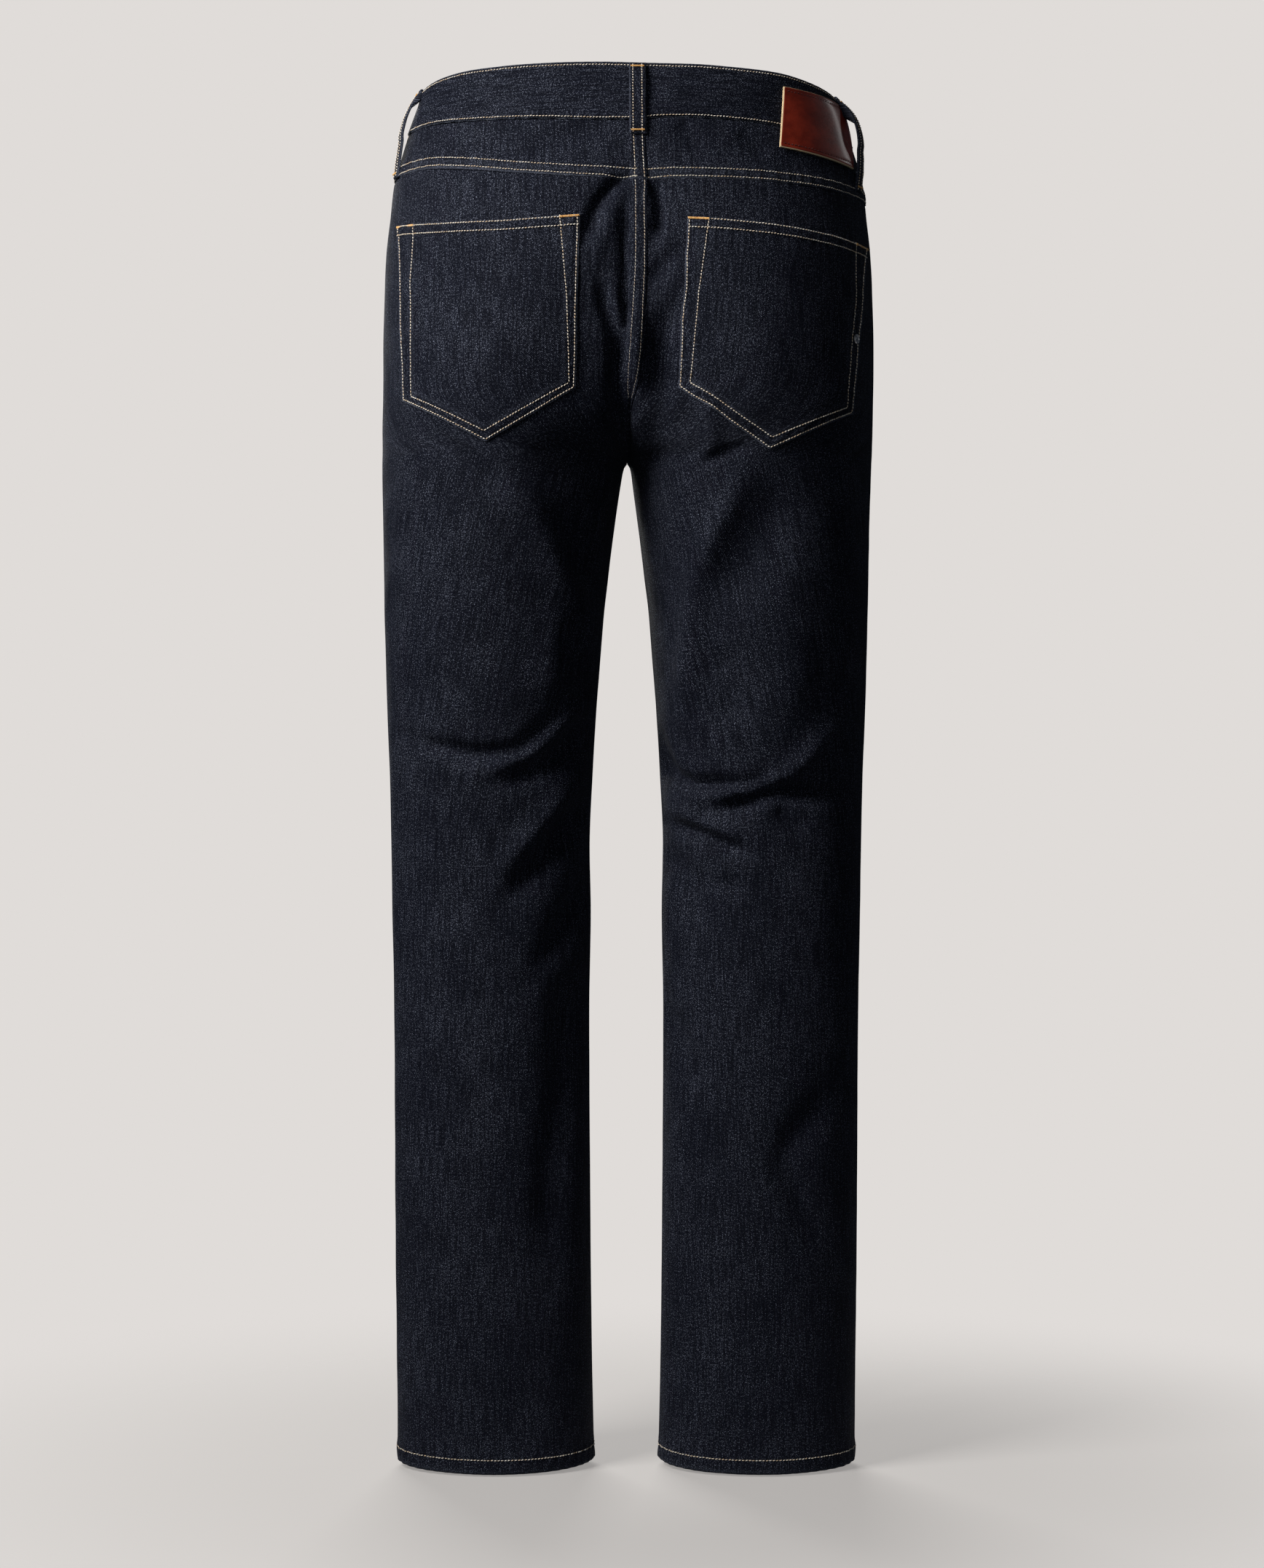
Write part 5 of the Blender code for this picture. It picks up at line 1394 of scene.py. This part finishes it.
def sew_pockets(thread, tack):
    for side in SIDES:
        around, top = pocket_edges(side)
        inner_row = np.array(POCKET_INNER_ROW[side])
        for number, row in enumerate((inset(around, BESIDE_EDGE, around.mean(0)), inner_row)):
            for k, ends in enumerate(zip(row[:-1], row[1:])):
                thread.run(*pocket_row(side, ends), seed=60 + 10 * number + k)
        for number, below in enumerate(POCKET_TOP_ROWS):
            line = top - (0.0, below)
            line[[0, -1], 0] += (0.5 * SIDES[side], -0.5 * SIDES[side])
            thread.run(*pocket_row(side, line, 200), seed=90 + number)
        order = np.argsort(top[:, 0])
        for corner, inner in ((top[-1], inner_row[0]), (top[0], inner_row[-1])):
            end = np.array([inner[0], np.interp(inner[0], top[order, 0], top[order, 1])])
            start = corner + (end - corner) * 0.03
            points, normals = pocket_row(side, np.array([start, end]) - (0.0, POCKET_TOP_ROWS[0]), 8)
            tack.bar(points[0], points[-1], normals.mean(0))


def sew_front(thread, tack):
    """The pockets' mouths and the fly."""
    for side in SIDES:
        quarter = QUARTERS[side, FORE]
        for number, away in enumerate(TWIN):
            from_centre, level = mouth_line(side, away).T
            along = 1 - from_centre / quarter.length(level)
            band = quarter.line(BAND_BOTTOM, np.clip(along, 0, 1))
            kept = (along > 0.004) & (level < band - 1.5)
            from_centre, level, along = from_centre[kept], level[kept], along[kept]
            relief = front_relief(side, level, from_centre)
            place = on_face(lambda lift: quarter.at(level, along, lift), relief)
            thread.run(*place, seed=100 + number)
    for number, away in enumerate(TWIN):
        line = fly_outline(away)[:-1]
        line = line[line[:, 1] > 1.5].T
        thread.run(*on_face(lambda lift: on_fly(*line, lift)[0], 0.0), seed=110 + number)
    start, end = on_fly(np.array([7.0, 14.0]), FLY_LENGTH - np.array([13.0, 16.5]))[0]
    tack.bar(start, end, np.array([0.0, -1.0, 0.0]))


def sew_loop(thread, tack, outer, normal):
    normals = np.broadcast_to(normal, outer[:, 0].shape)
    for number, column in enumerate(LOOP_ROWS):
        thread.run(outer[2:-2, column], normals[2:-2], pitch=2.2, fill=0.68, seed=120 + number)
    for row in (4, -5):
        tack.bar(outer[row, 3], outer[row, -4], normal, width=1.6)


def sew_patch(thread):
    across = np.linspace(0.03, 0.97, 120)
    for number, down in enumerate(PATCH_ROWS):
        down = np.full_like(across, down)
        face = PATCH_THICK + patch_relief(down, across)
        place = on_face(lambda lift: patch_place(down, across, lift), face)
        thread.run(*place, pitch=3.1, fill=0.6, radius=0.33, seed=130 + number)


def sew_buttonhole(thread, place):
    """Close stitches on both sides of the slit that the button has come through."""
    quarter = QUARTERS["left", FORE]
    for lift in (1.5, -1.5):
        x = place[0] + np.array([5.0, 19.0])
        along = 1 - x / quarter.length(RING_LEVEL)
        start, end = quarter.at(np.full(2, place[2]) + lift, along, BAND_PROUD - 0.2)
        thread.bar(start, end, np.array([0.1, -1.0, 0.0]), width=2.4, radius=0.3)


# ---------------------------------------------------------------- materials
class Finish:
    """A material with a short way to add and link its nodes."""

    def __init__(self, name):
        self.material = bpy.data.materials.new(name)
        self.material.use_nodes = True
        self.tree = self.material.node_tree
        self.shader = self.tree.nodes["Principled BSDF"]

    def node(self, kind, settings, *values, **inputs):
        """A node. values go into its first sockets, and inputs into the sockets that they name."""
        node = self.tree.nodes.new("ShaderNode" + kind)
        for name, value in settings.items():
            setattr(node, name, value)
        for socket, value in [*enumerate(values), *inputs.items()]:
            self.plug(node, socket, value)
        return node

    def plug(self, node, socket, value):
        socket = socket.replace("_", " ") if isinstance(socket, str) else socket
        if isinstance(value, bpy.types.Node):
            value = value.outputs[0]
        if isinstance(value, bpy.types.NodeSocket):
            self.tree.links.new(value, node.inputs[socket])
        else:
            is_colour = node.inputs[socket].type == "RGBA"
            node.inputs[socket].default_value = (*value, 1.0) if is_colour else value

    def math(self, operation, *values):
        return self.node("Math", {"operation": operation}, *values)

    def vector(self, operation, *values, **inputs):
        return self.node("VectorMath", {"operation": operation}, *values, **inputs)

    def product(self, value, *others):
        for other in others:
            value = self.math("MULTIPLY", value, other)
        return value

    def on_cloth(self):
        """The place on the flat cloth, in mm."""
        return self.vector("SCALE", self.node("UVMap", {"uv_map": "grain"}), Scale=1 / MM).outputs[0]

    def in_space(self):
        return self.node("TexCoord", {}).outputs["Object"]

    def wear(self):
        return self.node("Attribute", {"attribute_type": "GEOMETRY", "attribute_name": "wear"}).outputs[2]

    def noise(self, vector, stretch, detail=2.0, rough=0.6, seed=0.0):
        """Noise whose stretch gives its waves for each unit of the vector."""
        scaled = self.vector("MULTIPLY", vector, (*stretch, 1.0)[:3])
        moved = self.vector("ADD", scaled, (seed, 1.7 * seed, 0.0))
        return self.node("TexNoise", {}, Vector=moved, Scale=1.0, Detail=detail, Roughness=rough)

    def between(self, value, low, high, to_low=0.0, to_high=1.0):
        return self.node("MapRange", {"interpolation_type": "SMOOTHSTEP"}, value, low, high, to_low, to_high)

    def mix(self, factor, a, b):
        node = self.node("Mix", {"data_type": "RGBA"}, factor)
        self.plug(node, 6, a)
        self.plug(node, 7, b)
        return node.outputs[2]

    def bump(self, height, distance, strength):
        return self.node("Bump", {}, Height=height, Distance=distance, Strength=strength)

    def set(self, **values):
        """Sets the shader's sockets, and gives the finished material."""
        for name, value in values.items():
            self.plug(self.shader, name, value)
        return self.material


def denim(name, warp, weft, cover, seed=0.0, sheen=0.025):
    """Indigo warp over pale weft in a right-hand twill. cover is how much of the weft shows."""
    finish = Finish(name)
    place = finish.on_cloth()

    def noise(stretch, detail, rough, offset):
        return finish.noise(place, stretch, detail, rough, seed + offset)

    wander = noise((0.20, 0.12), 2.0, 0.6, 0)
    rib = finish.vector("DOT_PRODUCT", place, TWILL)
    phase = finish.math("ADD", rib.outputs[1], finish.math("MULTIPLY", wander, 5.0))
    ribs = finish.math("MULTIPLY_ADD", finish.math("SINE", phase), 0.5, 0.5)

    fine = noise((1.6, 1.3), 1.0, 0.7, 3)
    flecks = finish.between(fine, 0.54, 0.66)
    groups = finish.between(noise((0.95, 0.62), 1.0, 0.6, 5), 0.44, 0.59, 0.10, 1.65)
    slub = noise((0.70, 0.035), 3.0, 0.62, 7)
    warp_slubs = finish.between(slub, 0.38, 0.64, 0.32, 1.75)
    weft_slubs = finish.between(noise((0.035, 0.8), 2.0, 0.6, 9), 0.35, 0.68, 0.78, 1.22)
    clouds = finish.between(noise((0.022, 0.014), 2.0, 0.6, 12), 0.3, 0.7, 0.62, 1.38)
    shows = finish.product(
        finish.math("MULTIPLY_ADD", ribs, 0.78, 0.22),
        finish.math("MULTIPLY_ADD", flecks, 0.96, 0.04),
        finish.product(warp_slubs, weft_slubs),
        clouds,
        groups,
        cover,
    )
    wear = finish.product(finish.wear(), finish.between(fine, 0.35, 0.65, 0.35, 1.0), 0.30)
    factor = finish.math("ADD", shows, wear)
    factor.use_clamp = True

    tone = finish.mix(finish.between(slub, 0.35, 0.7), warp, tuple(1.5 * c for c in warp))
    height = finish.math("MULTIPLY_ADD", ribs, 0.6, finish.math("MULTIPLY", fine, 0.8))
    height = finish.math("ADD", height, finish.math("MULTIPLY", slub, 0.9))
    return finish.set(
        Base_Color=finish.mix(factor, tone, weft),
        Roughness=finish.between(fine, 0.3, 0.7, 0.72, 0.90),
        Specular_IOR_Level=0.12,
        Sheen_Weight=sheen,
        Sheen_Roughness=0.45,
        Sheen_Tint=SHEEN_TINT,
        Normal=finish.bump(height, 0.00030, 0.9),
    )


def thread_finish(name, light, dark):
    """Twisted thread, a little uneven in colour."""
    finish = Finish(name)
    place = finish.in_space()
    blotches = finish.noise(place, (420.0, 420.0, 420.0))
    drift = finish.noise(place, (60.0, 60.0, 60.0), detail=1.0, seed=4.0)
    factor = finish.product(finish.between(blotches, 0.38, 0.56), finish.between(drift, 0.3, 0.7, 0.6, 1.0))
    return finish.set(
        Base_Color=finish.mix(factor, dark, light),
        Roughness=0.62,
        Specular_IOR_Level=0.35,
        Sheen_Weight=0.25,
        Sheen_Roughness=0.4,
        Normal=finish.bump(blotches, 0.0002, 0.6),
    )


def leather_finish():
    """Glossy leather, clouded and creased, and pale where it is cut."""
    finish = Finish("patch_leather")
    place = finish.on_cloth()
    clouds = finish.noise(place, (0.05, 0.07), detail=4.0, seed=2.0)
    pores = finish.node("TexVoronoi", {"feature": "F1"}, Vector=place, Scale=1.5)
    creases = finish.noise(place, (0.45, 0.6), detail=5.0, rough=0.7, seed=5.0)
    tone = finish.mix(finish.between(clouds, 0.3, 0.72), LEATHER_DARK, LEATHER_LIGHT)
    tone = finish.mix(finish.product(finish.between(creases, 0.5, 0.75), 0.35), tone, LEATHER_DARK)
    tone = finish.mix(finish.between(finish.wear(), 0.35, 0.7), tone, RAW_LEATHER)
    height = finish.math("MULTIPLY_ADD", finish.between(pores.outputs[0], 0.0, 0.5), 0.5, creases)
    return finish.set(
        Base_Color=tone,
        Roughness=finish.between(creases, 0.3, 0.75, 0.40, 0.55),
        Specular_IOR_Level=0.35,
        Coat_Weight=0.4,
        Coat_Roughness=0.2,
        Normal=finish.bump(height, 0.00012, 0.6),
    )


def cut_edge_finish():
    finish = Finish("leather_cut_edge")
    fibres = finish.noise(finish.in_space(), (800.0, 800.0, 800.0), detail=3.0)
    return finish.set(
        Base_Color=finish.mix(finish.between(fibres, 0.3, 0.6), (0.62, 0.42, 0.22), RAW_LEATHER),
        Roughness=0.75,
        Normal=finish.bump(fibres, 0.0002, 0.5),
    )


def metal_finish(name, light, dark, rough):
    """Old plated metal, darker and duller in patches."""
    finish = Finish(name)
    place = finish.in_space()
    tarnish = finish.noise(place, (260.0, 260.0, 260.0), detail=4.0, rough=0.65)
    scratches = finish.noise(place, (2400.0, 300.0, 700.0), seed=3.0)
    return finish.set(
        Base_Color=finish.mix(finish.between(tarnish, 0.35, 0.7), light, dark),
        Metallic=1.0,
        Roughness=finish.between(tarnish, 0.3, 0.7, rough, rough + 0.22),
        Normal=finish.bump(scratches, 0.00008, 0.5),
    )


def floor_finish():
    """Pale paper that fades into the background away from the middle."""
    finish = Finish("floor_paper")
    radius = finish.vector("LENGTH", finish.vector("MULTIPLY", finish.in_space(), (1.0, 1.0, 0.0)))
    return finish.set(
        Base_Color=FLOOR_COLOUR,
        Roughness=0.95,
        Specular_IOR_Level=0.1,
        Emission_Color=BACKGROUND,
        Emission_Strength=FLOOR_GLOW,
        Alpha=finish.between(radius.outputs[1], 0.22, 0.85, 1.0, 0.0),
    )


# ---------------------------------------------------------------- camera, light and floor
def put(name, data, place):
    made = bpy.data.objects.new(name, data)
    made.location = place
    bpy.context.scene.collection.objects.link(made)
    return made


def area_light(name, place, target, size, power, colour):
    data = bpy.data.lights.new(name, "AREA")
    data.shape = "RECTANGLE"
    data.size, data.size_y = size
    data.energy, data.color = power, colour
    lamp = put(name, data, place)
    towards = Vector(np.asarray(target, float) - np.asarray(lamp.location, float))
    lamp.rotation_euler = towards.to_track_quat("-Z", "Y").to_euler()
    lamp.visible_camera = False


def camera():
    data = bpy.data.cameras.new("camera")
    data.lens, data.sensor_width = LENS, SENSOR
    made = put("camera", data, CAMERA_PLACE)
    made.rotation_euler = (np.pi / 2, 0.0, np.pi)
    bpy.context.scene.camera = made


def floor():
    """A round floor, with closer rings near the middle."""
    steps, rings = 96, np.concatenate([np.linspace(0.0, 1.0, 12)[1:], np.linspace(1.0, FLOOR_RADIUS, 12)[1:]])
    turn = np.linspace(0, 2 * np.pi, steps, endpoint=False)
    vertices = [(0.0, 0.0, FLOOR_HEIGHT)]
    vertices += [(radius * np.cos(a), radius * np.sin(a), FLOOR_HEIGHT) for radius in rings for a in turn]
    corner = 1 + np.arange(len(rings) * steps).reshape(-1, steps)
    onward = np.roll(corner, -1, axis=1)
    faces = [(0, int(a), int(b)) for a, b in zip(corner[0], onward[0])]
    between_rings = np.stack([corner[:-1], corner[1:], onward[1:], onward[:-1]], axis=-1)
    faces += between_rings.reshape(-1, 4).tolist()
    mesh = bpy.data.meshes.new("floor")
    mesh.from_pydata(vertices, [], faces)
    mesh.materials.append(floor_finish())
    made = put("floor", mesh, (0.0, 0.0, 0.0))
    made.visible_diffuse = False


def surroundings():
    """A pale grey background, which lights the cloth only softly."""
    world = bpy.data.worlds.new("studio")
    bpy.context.scene.world = world
    world.use_nodes = True
    nodes, links = world.node_tree.nodes, world.node_tree.links
    nodes.clear()
    path, mix, out = (nodes.new("ShaderNode" + kind) for kind in ("LightPath", "MixShader", "OutputWorld"))
    links.new(path.outputs["Is Camera Ray"], mix.inputs[0])
    for socket, colour in ((1, AMBIENT), (2, BACKGROUND)):
        light = nodes.new("ShaderNodeBackground")
        light.inputs["Color"].default_value = (*colour, 1.0)
        links.new(light.outputs[0], mix.inputs[socket])
    links.new(mix.outputs[0], out.inputs["Surface"])


# ---------------------------------------------------------------- the scene
def finish_piece(piece, node=None):
    """The piece stands for its node of the frame."""
    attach(piece, "root")
    if node is not None:
        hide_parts(node)


def main():
    bpy.context.scene.view_settings.view_transform = "Standard"
    camera()
    surroundings()
    floor()
    for lamp in LIGHTS:
        area_light(*lamp)

    outside = denim("denim_outside", WARP, WEFT, 1.0)
    inside = denim("denim_inside", (0.10, 0.12, 0.16), (0.42, 0.43, 0.44), 1.6, seed=20.0, sheen=0.15)
    plain_denim = denim("pocket_denim", WARP, WEFT, 0.95, seed=31.0)
    cloth, facing = (outside, inside, outside), (plain_denim, inside, plain_denim)
    pale = thread_finish("thread_ochre", (1.0, 0.94, 0.83), (0.68, 0.50, 0.33))
    orange = thread_finish("thread_orange", (1.0, 0.60, 0.22), (0.80, 0.40, 0.12))
    red = thread_finish("thread_red", (0.13, 0.02, 0.015), (0.05, 0.008, 0.008))
    brass = metal_finish("old_brass", (0.36, 0.26, 0.16), (0.12, 0.08, 0.05), 0.30)
    gunmetal = metal_finish("gunmetal", (0.72, 0.73, 0.76), (0.42, 0.42, 0.44), 0.38)
    leather, cut_edge = leather_finish(), cut_edge_finish()

    seams, band, hems, pockets, front, loops, tacks, patch = (
        Thread(name)
        for name in (
            "seam_stitching", "waistband_stitching", "hem_stitching", "back_pocket_stitching",
            "front_stitching", "belt_loop_stitching", "bartacks", "patch_stitching",
        )
    )

    finish_piece(waistband(cloth), "waistband")
    for side in SIDES:
        finish_piece(yoke(side, cloth), f"yoke_{side}")
        finish_piece(back_panel(side, cloth), f"back_{side}")
        finish_piece(front_panel(side, cloth), f"front_{side}")
        finish_piece(
            pocket_facing(side, facing), f"pocket_facing_{side}",
        )
        finish_piece(
            back_pocket(side, cloth), f"back_pocket_{side}",
        )
    finish_piece(
        fly(cloth), "fly",
    )
    for name, place in BELT_LOOPS.items():
        made, outer, normal = belt_loop(name, place, cloth)
        length = round(float(way_along(outer[:, len(LOOP_COLUMNS) - 1])[-1]) * MM, 3)
        finish_piece(
            made, f"belt_loop_{name}"
        )
        sew_loop(loops, tacks, outer, normal)
    finish_piece(leather_patch((leather, cut_edge, cut_edge)), "leather_patch")
    metal_button, place = button(brass)
    finish_piece(metal_button, "button")
    finish_piece(pocket_rivet(gunmetal), "pocket_rivet")

    sew_body(seams)
    sew_band(band)
    sew_hems(hems)
    sew_pockets(pockets, tacks)
    sew_front(front, tacks)
    sew_buttonhole(front, place)
    sew_patch(patch)
    for rows in (seams, band, hems, pockets, front, loops):
        finish_piece(rows.make(pale))
    finish_piece(tacks.make(orange))
    finish_piece(patch.make(red))


main()
